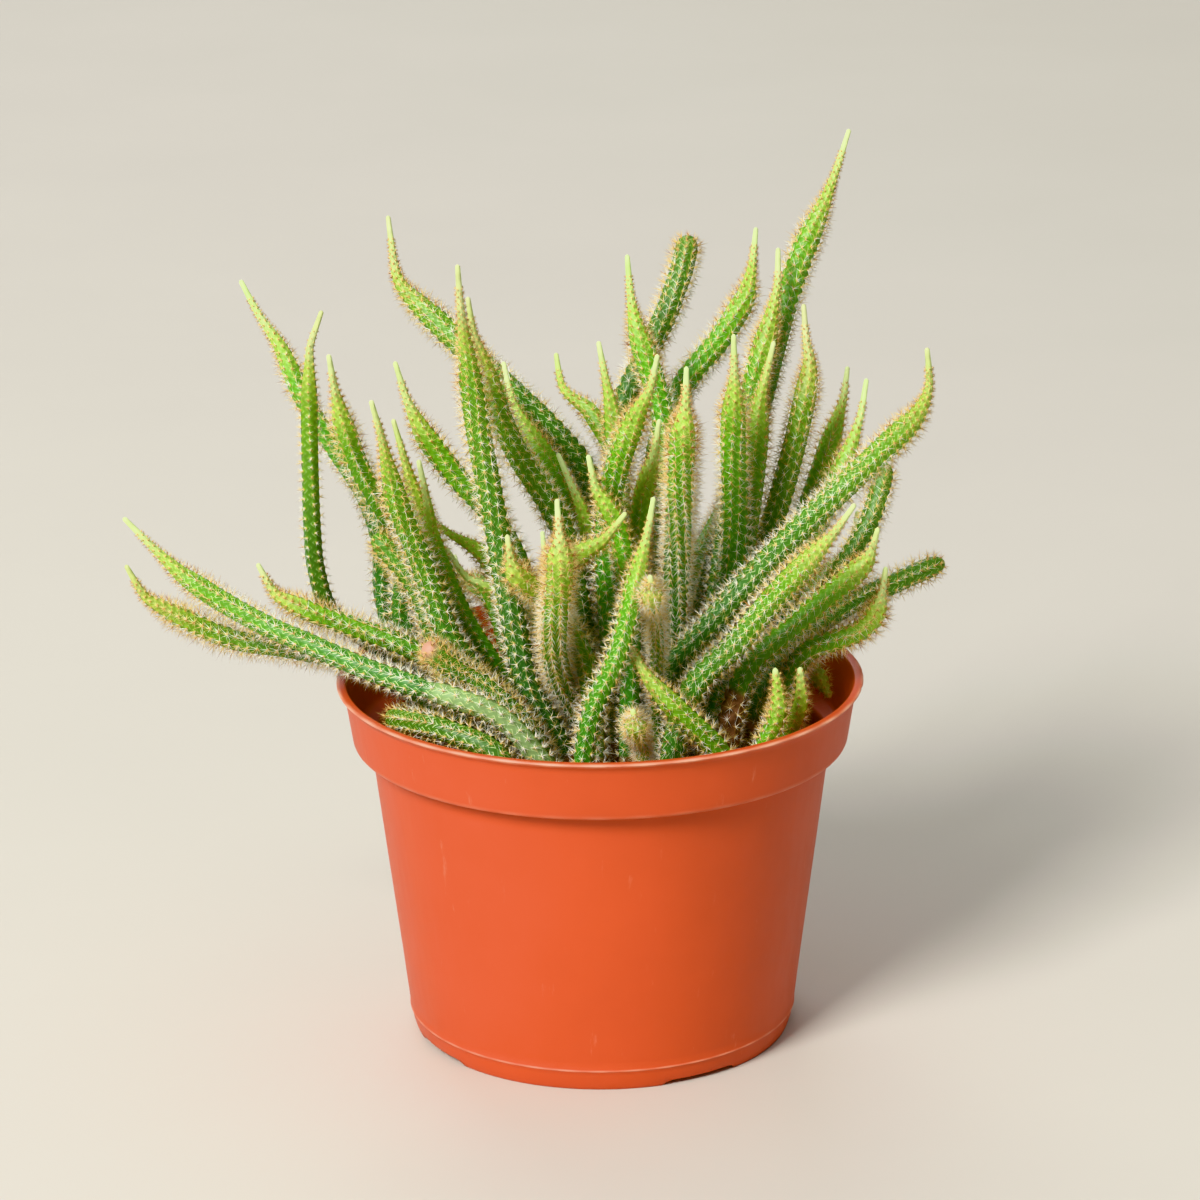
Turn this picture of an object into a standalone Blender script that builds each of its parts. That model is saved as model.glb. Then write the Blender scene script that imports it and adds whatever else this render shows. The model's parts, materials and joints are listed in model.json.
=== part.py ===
"""Rat tail cactus in its round plastic nursery pot.

Metres, +Z up, the pot standing on z = 0 with its axis on the origin and the front of the
plant towards -Y. All sizes below are in millimetres and are turned into metres on the way in.
"""

import math

import bmesh
import bpy
import numpy as np

MM = 0.001
COLLECTION_NAME = "rat_tail_cactus"

# The pot: a 6 inch azalea pot, wider than it is tall, with a collar standing out under its lip
POT_HEIGHT = 108.6
LIP_RADIUS = 78.0
LIP_INNER_RADIUS = 75.3
LIP_THICKNESS = 1.6
LIP_INNER_CHAMFER = 0.9
COLLAR_TOP_RADIUS = 75.8
COLLAR_TOP_Z = 106.4
COLLAR_LOW_RADIUS = 73.6
COLLAR_LOW_Z = 91.6
COLLAR_EDGE_RADIUS = 1.5
LEDGE_RADIUS = 68.2
LEDGE_Z = 89.7
BODY_LOW_RADIUS = 57.9
BODY_LOW_Z = 6.5
HEEL_RADIUS = 57.2
HEEL_Z = 2.8
FOOT_RADIUS = 56.0
FOOT_RING_WIDTH = 3.0
FOOT_RING_DRAFT = 0.4
WALL = 1.3
FLOOR_UNDERSIDE_Z = 1.8
FLOOR_TOP_Z = 3.4
POT_STEPS = 48

# Drainage: four notches in the foot ring and a round hole in the floor behind each
DRAIN_BEARINGS = (31.0, 121.0, 211.0, 301.0)
NOTCH_HEIGHT = 1.6
NOTCH_BOTTOM_SPAN = 26.0
NOTCH_TOP_SPAN = 21.0
NOTCH_REACH = (50.0, 60.0)
HOLE_RADIUS = 4.5
HOLE_RING_RADIUS = 44.0
HOLE_CUT_Z = 4.0
HOLE_CUT_DEPTH = 6.0

# The potting mix, heaped a little in the middle
SOIL_GAP = 0.4
SOIL_BOTTOM_Z = 3.8
SOIL_EDGE_RADIUS = 64.8
SOIL_EDGE_Z = 77.6
SOIL_MOUND = ((0.0, 86.0), (12.0, 85.3), (30.0, 83.5), (50.0, 81.0), (62.0, 79.2))
SOCKET_FLOOR_Z = 71.7
SOCKET_SIDE_GAP = 0.3
SOCKET_CUT_HEIGHT = 30.0
FOOT_Z = 72.0
NECK_RISE = 5.0
FOOT_SHARE_OF_GIRTH = 0.82
FOOT_SPACING = 10.2
FOOT_FIELD_RADIUS = 57.5

# The front view the stems are laid out in: a level sight line tipped down onto the plant
VIEW_TILT = 17.86
VIEW_ROLL = -0.42
VIEW_DISTANCE = 1326.4
VIEW_AIM_X = 0.16
VIEW_AIM_Z = 132.1

# Tips: most stems end in a thin spineless growing tail, a few end blunt
TAIL_TIP_RADIUS = 0.8
TAIL_BASE_RADIUS = 1.3
TAIL_LENGTH = 13.0
TAIL_FLARE = 12.0
BLUNT_TIP_SHARE = 0.5
BLUNT_LENGTH = 6.0
TIP_RINGS = (0.0, 11.0, 15.5, 19.0, 24.0)
RING_STEP = 15.5
STEM_SIDES_RESOLUTION = 2

# Spacing between neighbouring stems while they settle
SAMPLE_STEP = 4.0
STEM_GAP = 1.8
SETTLE_ROUNDS = 260
STIFF_FOOT_LENGTH = 12.0
FREE_LENGTH = 34.0
RIM_CLEARANCE = 1.0
WALL_CLEARANCE = 0.8

WHIP = "whip"
BLUNT = "blunt"

# Each stem: name, girth, tip, foot on the potting mix (x, y), lean, then the places it passes
# from its tip down, as (across, rise, away) in the front view. Away is the distance behind the
# pot's axis, and negative towards the front. Lean is how much further away its tip swings.
STEMS = (
    ("stem_01", 6.0, WHIP, (-44, 25), 24, (
        (-106, 220, 6), (-101, 210.5, 7), (-94, 200, 9), (-90, 190, 10), (-85, 181, 11),
        (-80, 173, 12), (-71, 159.5, 13), (-65.5, 147, 15), (-63.6, 133, 18), (-62.8, 118, 21))),
    ("stem_02", 5.6, WHIP, (-37, 15), -4, (
        (-82, 211, -6), (-84, 205.5, -6), (-85.5, 200, -6), (-85.7, 180, -5), (-85, 150, -2),
        (-83.5, 134, 4), (-79, 122, 8), (-66, 112, 12), (-52, 104, 13))),
    ("stem_03", 7.0, WHIP, (-38, 10), -16, (
        (-80, 198, -12), (-78, 187, -11), (-75, 175, -10), (-71.3, 165, -8), (-66, 155, -5),
        (-60, 144, 0), (-57.4, 130, 4), (-57, 114, 7))),
    ("stem_04", 7.4, WHIP, (-27, -20), -22, (
        (-67.5, 184.5, -24), (-64.5, 174, -24), (-62.5, 165, -24), (-60, 155, -24),
        (-57.3, 148, -24), (-53, 138, -23), (-48.5, 126, -22), (-45, 116, -21), (-38, 103, -20))),
    ("stem_05", 6.2, WHIP, (-25, -8), -6, (
        (-61, 179, -8), (-59, 172, -8), (-57, 165, -7), (-55, 158, -6), (-51, 147, -5),
        (-46, 135, -5), (-40, 120, -5), (-34, 106, -6))),
    ("stem_06", 7.2, WHIP, (-13, 2), 0, (
        (-60.5, 196, 2), (-57, 185, 2), (-52, 175, 2), (-45, 165, 2), (-37, 156.5, 2),
        (-30, 148, 2), (-23, 134, 2), (-18, 116, 2))),
    ("stem_07", 5.4, WHIP, (-18, -6), -8, (
        (-53.5, 167, -14), (-52, 160, -14), (-50.5, 152, -14), (-49.3, 142, -14),
        (-46, 134, -13), (-41, 124, -12), (-35, 112, -10))),
    ("stem_08", 8.0, WHIP, (0, 28), 30, (
        (-62.5, 239, 24), (-60.5, 224, 24), (-59, 219, 24), (-55, 214.5, 24), (-45, 205, 24),
        (-36, 196.5, 24), (-20, 181.5, 25), (-9, 170, 26), (-3, 160, 27), (0, 140, 28))),
    ("stem_10", 7.8, WHIP, (-10, -18), -20, (
        (-42, 224.5, -22), (-41, 211, -22), (-39.5, 200, -22), (-38, 190, -23), (-36, 176, -24),
        (-33.8, 165, -25), (-31.5, 152, -25), (-28.7, 138, -26), (-26, 122, -26),
        (-22.5, 106, -25), (-18, 93, -23))),
    ("stem_11", 7.4, WHIP, (-3, -1), -8, (
        (-39, 215, -8), (-38, 207, -8), (-34.5, 195, -8), (-31, 184, -7), (-27, 174, -6),
        (-21.5, 164, -5), (-15, 154, -4), (-9.5, 142, -3), (-6, 125, -2))),
    ("stem_12", 7.2, WHIP, (-8, 19), 14, (
        (-28.5, 196, 8), (-27.3, 189, 8), (-25.5, 183.5, 9), (-21.5, 176, 10), (-15, 166, 12),
        (-9, 154, 14), (-6, 138, 16))),
    ("stem_13", 6.0, WHIP, (8, 20), 24, (
        (-13, 198.5, 18), (-12.4, 193, 18), (-10.5, 187.5, 18), (-5, 183, 18), (1, 177, 18),
        (5, 166, 18), (7, 148, 19))),
    ("stem_14", 6.4, WHIP, (6, 9), 8, (
        (-0.5, 202, 10), (1, 194, 10), (2.6, 186, 10), (4, 177, 10), (5.5, 164, 10),
        (6, 145, 9))),
    ("stem_15", 7.4, WHIP, (18, 12), 12, (
        (8, 227.5, 12), (8.7, 218, 12), (10.3, 208, 12), (12.8, 199, 12), (16.5, 188, 13),
        (19, 177, 13), (20, 160, 13), (19, 135, 12))),
    ("stem_16", 7.6, BLUNT, (5, 38), 34, (
        (26.3, 233, 26), (25, 226, 26), (22, 217, 26), (18, 206, 26), (12.5, 196, 26),
        (7.5, 185, 27), (4.5, 168, 30), (4, 140, 34))),
    ("stem_17", 7.6, WHIP, (14, 29), 36, (
        (46, 235.5, 32), (44.7, 223, 32), (42.5, 214, 32), (38.5, 207, 32), (31, 197, 32),
        (23, 187, 32), (17.5, 172, 31), (15, 148, 30))),
    ("stem_18", 7.4, WHIP, (31, 22), 18, (
        (52.5, 229.5, 18), (52.8, 222, 18), (51.2, 213, 18), (49, 203, 18), (46, 192, 19),
        (43, 176, 20), (38, 150, 21))),
    ("stem_19", 7.6, WHIP, (25, 36), 30, (
        (73.5, 264.5, 30), (70.5, 255, 30), (67, 245, 30), (62.8, 235, 30), (58.5, 225, 30),
        (55, 214, 30), (51, 199, 30), (47, 183, 30), (41, 160, 32), (33, 132, 34))),
    ("stem_20", 8.0, WHIP, (33, -2), -10, (
        (39.4, 204, -6), (39.6, 192, -6), (39.2, 178, -6), (39.4, 164, -5), (40, 150, -4),
        (39.5, 136, -3), (37, 116, -2))),
    ("stem_21", 7.2, WHIP, (38, 5), 4, (
        (51.3, 202, 6), (49.5, 194, 6), (47.3, 185, 6), (46.4, 174, 6), (45, 160, 6),
        (42.8, 144, 6), (40, 122, 5))),
    ("stem_22", 7.4, WHIP, (44, 14), 14, (
        (60, 213, 14), (60.3, 205, 14), (61.8, 196, 14), (60.7, 187, 14), (58.6, 177, 14),
        (55.5, 164, 14), (51.3, 150, 14), (47, 134, 14), (45, 116, 14))),
    ("stem_23", 7.0, WHIP, (44, 27), 30, (
        (73, 194.5, 24), (72.2, 187, 24), (69.4, 177, 24), (66, 166, 24), (61, 152, 24),
        (54, 132, 26))),
    ("stem_24", 7.0, WHIP, (50, 14), 18, (
        (78.6, 191, 14), (77.8, 184, 14), (75, 174, 14), (71, 163, 14), (65, 150, 14),
        (58, 134, 14), (53, 114, 14))),
    ("stem_25", 7.8, WHIP, (14, -14), -18, (
        (96.4, 200, -14), (97.2, 190, -14), (94.3, 181.5, -14), (88, 174.5, -14),
        (78, 165, -15), (67.8, 155, -16), (57, 145, -17), (47, 134.5, -17), (37, 123.5, -17),
        (28, 113, -17), (20, 103, -16))),
    ("stem_26", 7.6, WHIP, (4, -8), -16, (
        (17, 198, -12), (15.6, 190, -12), (11.5, 181.5, -12), (7.5, 172, -11), (4, 161, -10),
        (2, 146, -9), (3, 122, -8))),
    ("stem_27", 8.0, WHIP, (20, 0), 0, (
        (25.5, 194.5, -44), (25.3, 184, -44), (24.5, 175, -43), (23.8, 163, -38),
        (23.3, 152, -31), (23, 142, -23), (22, 128, -13), (21, 108, -5))),
    ("stem_28", 6.4, WHIP, (10, 0), 0, (
        (17.5, 179, 0), (16.5, 171, 0), (14.3, 162, 0), (12, 152, 0), (11, 134, 0))),
    ("stem_29", 6.4, WHIP, (9, -24), -8, (
        (-3.5, 168.5, -18), (-1.8, 160, -18), (2.5, 152.5, -18), (6.5, 144, -19),
        (8, 132, -20), (9, 114, -22))),
    ("stem_30", 6.2, WHIP, (-3, 9), 8, (
        (-12.5, 169, 2), (-9.5, 161.5, 2), (-6, 154, 3), (-3.5, 142, 5), (-3, 120, 7))),
    ("stem_31", 6.6, WHIP, (-18, -13), 0, (
        (7.7, 151.5, -40), (4.5, 146, -40), (-1, 142, -38), (-7.5, 138.3, -35),
        (-13.5, 131, -29), (-17.5, 118, -22), (-19, 103, -17))),
    ("stem_32", 8.0, WHIP, (-4, -12), 0, (
        (-12.7, 155.5, -60), (-12, 145, -60), (-11.8, 136, -58), (-12.2, 128, -54),
        (-13.2, 120, -47), (-13.5, 112, -38), (-11.5, 104, -28), (-7, 95, -18))),
    ("stem_33", 7.0, WHIP, (-2, -24), 0, (
        (-27.4, 145, -42), (-27, 138.5, -42), (-25, 133.5, -41), (-20.5, 130, -37),
        (-14.5, 125, -31), (-8, 114, -27), (-4, 101, -25))),
    ("stem_34", 5.2, WHIP, (-19, 10), 0, (
        (-45.5, 141, -12), (-43.5, 135.5, -12), (-39, 132.3, -12), (-33, 129.5, -11),
        (-27, 124, -6), (-22, 112, 2))),
    ("stem_35", 6.8, WHIP, (-12, -40), 0, (
        (-140.5, 150, -14), (-130, 139.5, -15), (-121, 131.5, -16), (-110, 124.5, -18),
        (-100, 119, -20), (-90, 114.5, -23), (-80, 110.5, -26), (-67.8, 105, -31),
        (-53, 100, -37), (-37, 94.5, -41), (-24, 86, -42))),
    ("stem_36", 6.6, WHIP, (-36, -10), 0, (
        (-139.8, 136, -4), (-135.5, 128, -4), (-127, 122.5, -4), (-112, 115.3, -5),
        (-100, 112.7, -6), (-90, 111.3, -7), (-79, 109, -8), (-66, 104.5, -9),
        (-52, 96, -10))),
    ("stem_37", 6.6, WHIP, (-28, 2), 0, (
        (-101, 136.5, 2), (-97, 128.5, 2), (-88, 123.5, 1), (-75, 118.5, 0), (-62, 114, 0),
        (-48, 107.5, -1), (-36, 98, 0))),
    ("stem_38", 6.4, WHIP, (-5, -48), -12, (
        (15.8, 156, -50), (14.3, 147, -50), (12, 137, -50), (9.3, 127, -50), (7.5, 117, -50),
        (4.5, 108, -50), (0.5, 98, -50), (-4, 88, -49))),
    ("stem_39", 7.2, WHIP, (15, -26), 0, (
        (14.8, 133, -62), (15, 128.5, -61), (15.5, 125, -56), (16.5, 121, -46), (17, 115, -37),
        (16.5, 105, -30))),
    ("stem_40", 7.2, WHIP, (39, -42), 0, (
        (8.8, 112, -50), (12.3, 105, -50), (17, 99.5, -50), (22, 94, -50), (28, 88.5, -49),
        (34, 83, -47))),
    ("stem_41", 5.8, WHIP, (45, -33), 0, (
        (51.6, 105.7, -36), (52.8, 97.5, -36), (51.8, 90, -36), (48.5, 83, -35))),
    ("stem_42", 5.4, WHIP, (53, -20), 0, (
        (59, 106, -25), (59.8, 98, -25), (57.5, 90.5, -24), (54.5, 84, -22))),
    ("stem_43", 7.2, WHIP, (13, -50), 0, (
        (9.7, 93.5, -66), (9.9, 89.5, -65), (10.8, 86.5, -61), (12.5, 82, -55))),
    ("stem_44", 7.8, WHIP, (20, -36), -14, (
        (75.2, 154, -34), (71.5, 148.5, -34), (65, 141, -34), (56, 131.5, -34),
        (47, 121.5, -34), (39.5, 112, -34), (32, 104, -34), (25, 97, -35))),
    ("stem_45", 7.2, WHIP, (38, -25), -14, (
        (82, 147, -10), (80.6, 140, -10), (75.5, 134, -11), (67.5, 127, -13), (59, 119.5, -15),
        (50, 112, -18), (42.5, 103.5, -21), (38.5, 93, -24))),
    ("stem_46", 6.6, BLUNT, (44, -9), 8, (
        (101.4, 137, 8), (95, 134.5, 7), (86, 130.3, 6), (76, 126, 4), (66, 119.5, 1),
        (56, 111, -3), (49, 101, -6))),
    ("stem_47", 6.6, WHIP, (54, -5), -6, (
        (84.3, 135.5, -12), (83.3, 127.5, -12), (80, 119.7, -12), (74, 115.3, -12),
        (65, 112.5, -12), (59, 109, -11), (55.5, 102, -9))),
    ("stem_48", 6.6, BLUNT, (55, 7), 16, (
        (84.5, 166, 4), (82.5, 158, 4), (79.5, 149, 4), (74, 139, 4), (66, 127, 5),
        (59, 112, 6))),
    ("stem_49", 7.4, BLUNT, (-15, -29), 0, (
        (-51.8, 112.3, -38), (-47, 108.3, -37), (-40, 103.5, -35), (-31, 97.5, -33),
        (-23, 91, -31))),
    ("stem_50", 7.2, BLUNT, (-24, -47), 0, (
        (-62.5, 91.5, -26), (-55, 89.8, -34), (-45, 87.5, -42), (-34, 85, -47))),
    ("stem_51", 6.2, WHIP, (47, 16), 0, (
        (68, 97, 4), (66.3, 101.5, 7), (61.5, 105.5, 10), (54, 106, 13))),
    ("stem_52", 7.4, BLUNT, (-38, -22), 0, (
        (-66.5, 145, -14), (-61.5, 139.5, -15), (-55, 131.5, -16), (-50.5, 121, -17),
        (-46, 108, -19), (-42, 95, -21))),
    ("stem_53", 7.0, WHIP, (-22, 15), 0, (
        (-53, 152, 8), (-49, 148, 8), (-42, 144, 8), (-34, 139, 9), (-27, 130, 11),
        (-23, 114, 13))),
    ("stem_54", 7.0, WHIP, (-24, 35), 0, (
        (-43, 139, 92), (-41, 132, 84), (-37, 131, 70), (-32, 127, 56), (-27, 112, 43))),
    ("stem_55", 7.2, WHIP, (-8, 46), 0, (
        (-17, 146, 104), (-16.5, 139, 100), (-15, 135.5, 88), (-13, 135, 74), (-10.5, 124, 58))),
    ("stem_56", 7.2, WHIP, (20, 46), 0, (
        (42, 176, 94), (41.5, 166, 93), (39, 156, 88), (33, 145, 76), (27, 134, 62),
        (22, 114, 51))),
    ("stem_57", 7.0, WHIP, (41, 38), 0, (
        (76, 152, 66), (75, 144, 66), (69, 136, 60), (59, 127, 52), (49, 114, 44))),
)


def clear_scene():
    """Empty the scene of everything it starts with."""
    for existing in list(bpy.data.objects):
        bpy.data.objects.remove(existing, do_unlink=True)


def make_collections():
    """Collection for the object, and a hidden one inside the scene for cutters."""
    parts = bpy.data.collections.new(COLLECTION_NAME)
    cutters = bpy.data.collections.new(COLLECTION_NAME + "_cutters")
    cutters.hide_render = True
    bpy.context.scene.collection.children.link(parts)
    bpy.context.scene.collection.children.link(cutters)
    return parts, cutters


def make_material(name, colour, roughness):
    """Plain Principled material."""
    material = bpy.data.materials.new(name)
    material.use_nodes = True
    shader = material.node_tree.nodes["Principled BSDF"]
    shader.inputs["Base Color"].default_value = (*colour, 1.0)
    shader.inputs["Roughness"].default_value = roughness
    material.diffuse_color = (*colour, 1.0)
    return material


def view_axes():
    """Where the front view stands, and its rightward, upward and inward directions."""
    tilt = math.radians(VIEW_TILT)
    roll = math.radians(VIEW_ROLL)
    back = np.array((0.0, -math.cos(tilt), math.sin(tilt)))
    level_right = np.array((1.0, 0.0, 0.0))
    level_up = np.cross(back, level_right)
    right = math.cos(roll) * level_right + math.sin(roll) * level_up
    up = -math.sin(roll) * level_right + math.cos(roll) * level_up
    aim = np.array((VIEW_AIM_X, 0.0, VIEW_AIM_Z))
    return aim, aim + back * VIEW_DISTANCE, right, up, -back


def place(across, rise, away):
    """Point of the plant seen at (across, rise) in the front view and lying at y = away."""
    aim, eye, right, up, _ = view_axes()
    axis_foot_rise = VIEW_AIM_Z * math.cos(math.radians(VIEW_TILT))
    seen = aim + across * right + (rise - axis_foot_rise) * up
    reach = (away - eye[1]) / (seen[1] - eye[1])
    return eye + reach * (seen - eye)


def swung(passed, lean):
    """Places a stem passes, bent away from the front view more and more towards its tip."""
    across, rise, away = np.array(passed, float).T
    steps = np.hypot(np.diff(across), np.diff(rise))
    from_tip = np.concatenate(([0.0], np.cumsum(steps)))
    share = 1.0 - from_tip / from_tip[-1]
    return zip(across, rise, away + lean * share ** 2)


def soil_height(radius):
    """Height of the potting mix at this distance from the axis."""
    edge = (SOIL_EDGE_RADIUS, SOIL_EDGE_Z)
    radii, heights = zip(*SOIL_MOUND, edge)
    return np.interp(radius, radii, heights)


def spread_feet(feet):
    """Feet moved apart until no two share a socket, all kept on the potting mix."""
    feet = np.array(feet, float)
    for _ in range(400):
        apart = feet[:, None] - feet[None]
        distance = np.linalg.norm(apart, axis=2)
        np.fill_diagonal(distance, 1e9)
        short = np.clip(FOOT_SPACING - distance, 0.0, None)
        feet += 0.4 * (apart / distance[:, :, None] * short[:, :, None]).sum(axis=1)
        radius = np.linalg.norm(feet, axis=1)
        feet *= np.minimum(1.0, FOOT_FIELD_RADIUS / np.maximum(radius, 1e-9))[:, None]
    return feet


def smooth_route(points):
    """Catmull-Rom curve through the points, sampled every SAMPLE_STEP along its length."""
    points = np.array(points)
    ends = np.vstack((2 * points[0] - points[1], points, 2 * points[-1] - points[-2]))
    dense = []
    for start in range(len(points) - 1):
        a, b, c, d = ends[start:start + 4]
        for t in np.linspace(0.0, 1.0, 12, endpoint=False):
            dense.append(0.5 * (2 * b + (c - a) * t + (2 * a - 5 * b + 4 * c - d) * t ** 2
                                + (3 * b - a - 3 * c + d) * t ** 3))
    dense.append(points[-1])
    return resample(np.array(dense))


def lengths_along(route):
    """Distance of each point from the first, along the route."""
    steps = np.linalg.norm(np.diff(route, axis=0), axis=1)
    return np.concatenate(([0.0], np.cumsum(steps)))


def points_at(route, distances):
    """Points of the route at these distances along it."""
    along = lengths_along(route)
    return np.stack([np.interp(distances, along, route[:, axis]) for axis in range(3)], axis=1)


def resample(route):
    """The route again, in equal steps of about SAMPLE_STEP."""
    whole = lengths_along(route)[-1]
    count = max(4, round(whole / SAMPLE_STEP))
    return points_at(route, np.linspace(0.0, whole, count + 1))


def girth_profile(distances, whole, radius, tip):
    """Radius of the stem at each distance from its tip."""
    distances = np.asarray(distances, float)
    if tip == BLUNT:
        share = np.clip(distances / BLUNT_LENGTH, 0.0, 1.0)
        body = radius * (BLUNT_TIP_SHARE + (1 - BLUNT_TIP_SHARE) * np.sin(share * math.pi / 2))
    else:
        tail = TAIL_TIP_RADIUS + (TAIL_BASE_RADIUS - TAIL_TIP_RADIUS) * np.clip(
            distances / TAIL_LENGTH, 0.0, 1.0)
        flare = np.clip((distances - TAIL_LENGTH + 3.0) / TAIL_FLARE, 0.0, 1.0)
        body = tail + (radius - tail) * flare ** 2 * (3 - 2 * flare)
    neck = np.clip((whole - distances) / 30.0, 0.0, 1.0)
    return body * (FOOT_SHARE_OF_GIRTH + (1 - FOOT_SHARE_OF_GIRTH) * neck)


def inner_radius(z):
    """Radius of the pot's inner wall: the body's taper below the ledge, the collar above it."""
    body = np.interp(z, (BODY_LOW_Z, LEDGE_Z), (BODY_LOW_RADIUS - WALL, LEDGE_RADIUS - WALL))
    return np.where(z < LEDGE_Z + WALL, body, COLLAR_LOW_RADIUS - WALL)


def pot_and_soil_push(points, radii, free):
    """Moves that lift the stems off the rim, ledge and mix and hold them inside the wall."""
    push = np.zeros_like(points)
    distance = np.linalg.norm(points[:, :2], axis=1)
    outward = points[:, :2] / np.maximum(distance, 1e-6)[:, None]
    low = points[:, 2] - radii - WALL_CLEARANCE
    for top, room, ease in ((LEDGE_Z + WALL, inner_radius(LEDGE_Z), 0.0),
                            (POT_HEIGHT, inner_radius(POT_HEIGHT) - RIM_CLEARANCE, 6.0)):
        rise_needed = top - low
        inset_needed = distance + radii + WALL_CLEARANCE - room
        in_way = free & (rise_needed > 0) & (inset_needed > 0)
        in_way &= distance - radii < LIP_RADIUS + RIM_CLEARANCE
        over = in_way & (rise_needed < inset_needed + ease)
        inside = in_way & ~over
        push[over, 2] += rise_needed[over]
        push[inside, :2] -= outward[inside] * inset_needed[inside, None]
    sunk = free & (distance < SOIL_EDGE_RADIUS)
    sunk &= points[:, 2] - radii < soil_height(distance) + 1.0
    push[sunk, 2] += (soil_height(distance) + 1.0 + radii - points[:, 2])[sunk]
    return push


def settle(routes, radii):
    """Routes moved apart, mostly along the sight line, until no two stems touch."""
    _, _, _, _, inward = view_axes()
    counts = [len(route) for route in routes]
    owner = np.repeat(np.arange(len(routes)), counts)
    starts = np.cumsum([0] + counts)
    points = np.vstack(routes)
    radius = np.concatenate(radii)
    from_foot = np.concatenate([lengths_along(route[::-1])[::-1] for route in routes])
    loose = np.clip((from_foot - STIFF_FOOT_LENGTH) / FREE_LENGTH, 0.0, 1.0)
    free = from_foot > STIFF_FOOT_LENGTH + 4.0
    needed = radius[:, None] + radius[None] + STEM_GAP
    needed[owner[:, None] == owner[None]] = 0.0
    for _ in range(SETTLE_ROUNDS):
        square = (points ** 2).sum(axis=1)
        distance_2 = np.maximum(square[:, None] + square[None] - 2 * points @ points.T, 1e-9)
        first, second = np.nonzero(np.triu(distance_2 < needed ** 2, 1))
        gap = points[first] - points[second]
        distance = np.sqrt(distance_2[first, second])
        wanted = needed[first, second]
        depth = gap @ inward
        aside_2 = np.maximum(distance ** 2 - depth ** 2, 0.0)
        side = np.where(np.abs(depth) > 0.2, np.sign(depth), np.sign(second - first))
        missing = np.sqrt(np.maximum(wanted ** 2 - aside_2, 0.0)) - np.abs(depth)
        low = (points[first, 2] < 118.0) & (points[second, 2] < 118.0)
        move = (side * missing)[:, None] * inward[None]
        straight = gap / distance[:, None] * (wanted - distance)[:, None]
        move = np.where(low[:, None], straight, move)
        weight = loose[first] / np.maximum(loose[first] + loose[second], 1e-6)
        push = np.zeros_like(points)
        hits = np.zeros(len(points))
        np.add.at(push, first, move * weight[:, None])
        np.add.at(push, second, -move * (1 - weight)[:, None])
        np.add.at(hits, first, 1)
        np.add.at(hits, second, 1)
        push /= np.maximum(hits, 1.0)[:, None]
        push += pot_and_soil_push(points, radius, free)
        push *= loose[:, None]
        for start, stop in zip(starts[:-1], starts[1:]):
            spread = push[start:stop]
            for _ in range(3):
                padded = np.vstack((spread[:1], spread, spread[-1:]))
                spread = (padded[:-2] + 2 * padded[1:-1] + padded[2:]) / 4
            push[start:stop] = spread
        points = points + 1.1 * push * np.minimum(1.0, loose * 3.0)[:, None]
    return [points[start:stop] for start, stop in zip(starts[:-1], starts[1:])]


def stem_routes():
    """Centreline and radii of every stem, from tip to foot."""
    feet = spread_feet([stem[3] for stem in STEMS])
    routes = []
    radii = []
    for (_, girth, tip, _, lean, passed), foot in zip(STEMS, feet):
        points = [place(*seen) for seen in swung(passed, lean)]
        ground = soil_height(np.linalg.norm(foot))
        points.append(np.array((*foot, ground + NECK_RISE)))
        points.append(np.array((*foot, FOOT_Z)))
        route = smooth_route(points)
        along = lengths_along(route)
        routes.append(route)
        radii.append(girth_profile(along, along[-1], girth / 2, tip))
    return feet, settle(routes, radii)


def make_stem(name, girth, tip, foot, route, material, collection):
    """One stem as a tapered tube, its foot standing upright in its socket."""
    neck_z = soil_height(np.linalg.norm(foot)) + NECK_RISE
    above = np.vstack((route[route[:, 2] > neck_z + 1.0], (*foot, neck_z)))
    whole = lengths_along(above)[-1]
    stretch = whole - TIP_RINGS[-1]
    later = np.linspace(TIP_RINGS[-1], whole, max(2, round(stretch / RING_STEP)) + 1)[1:]
    distances = np.concatenate((TIP_RINGS, later))
    rings = np.vstack((points_at(above, distances), (*foot, FOOT_Z)))
    total = lengths_along(rings)[-1]
    radii = girth_profile(lengths_along(rings), total, girth / 2, tip)
    curve = bpy.data.curves.new(name, "CURVE")
    curve.dimensions = "3D"
    curve.bevel_depth = girth / 2 * MM
    curve.bevel_resolution = STEM_SIDES_RESOLUTION
    curve.use_fill_caps = True
    spline = curve.splines.new("POLY")
    spline.points.add(len(rings) - 1)
    spline.use_smooth = True
    for point, ring, radius in zip(spline.points, rings, radii):
        point.co = (*(ring * MM), 1.0)
        point.radius = radius / (girth / 2)
    curve.materials.append(material)
    stem = bpy.data.objects.new(name, curve)
    collection.objects.link(stem)
    return radii[-1]


def link_mesh(name, mesh, collection, material=None):
    """Object made from a mesh and linked."""
    made = bpy.data.objects.new(name, mesh)
    if material:
        mesh.materials.append(material)
    collection.objects.link(made)
    return made


def turned(name, profile, collection, material):
    """Round body turned from a profile running down its outer side."""
    mesh = bpy.data.meshes.new(name)
    corners = [(radius * MM, 0.0, z * MM) for radius, z in profile]
    edges = [(i, i + 1) for i in range(len(corners) - 1)]
    if profile[0][0] > 0:
        edges.append((len(corners) - 1, 0))
    mesh.from_pydata(corners, edges, [])
    made = link_mesh(name, mesh, collection, material)
    screw = made.modifiers.new("turn", "SCREW")
    screw.steps = POT_STEPS
    screw.render_steps = POT_STEPS
    screw.use_merge_vertices = True
    screw.merge_threshold = 0.00001
    screw.use_smooth_shade = True
    return made


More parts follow.
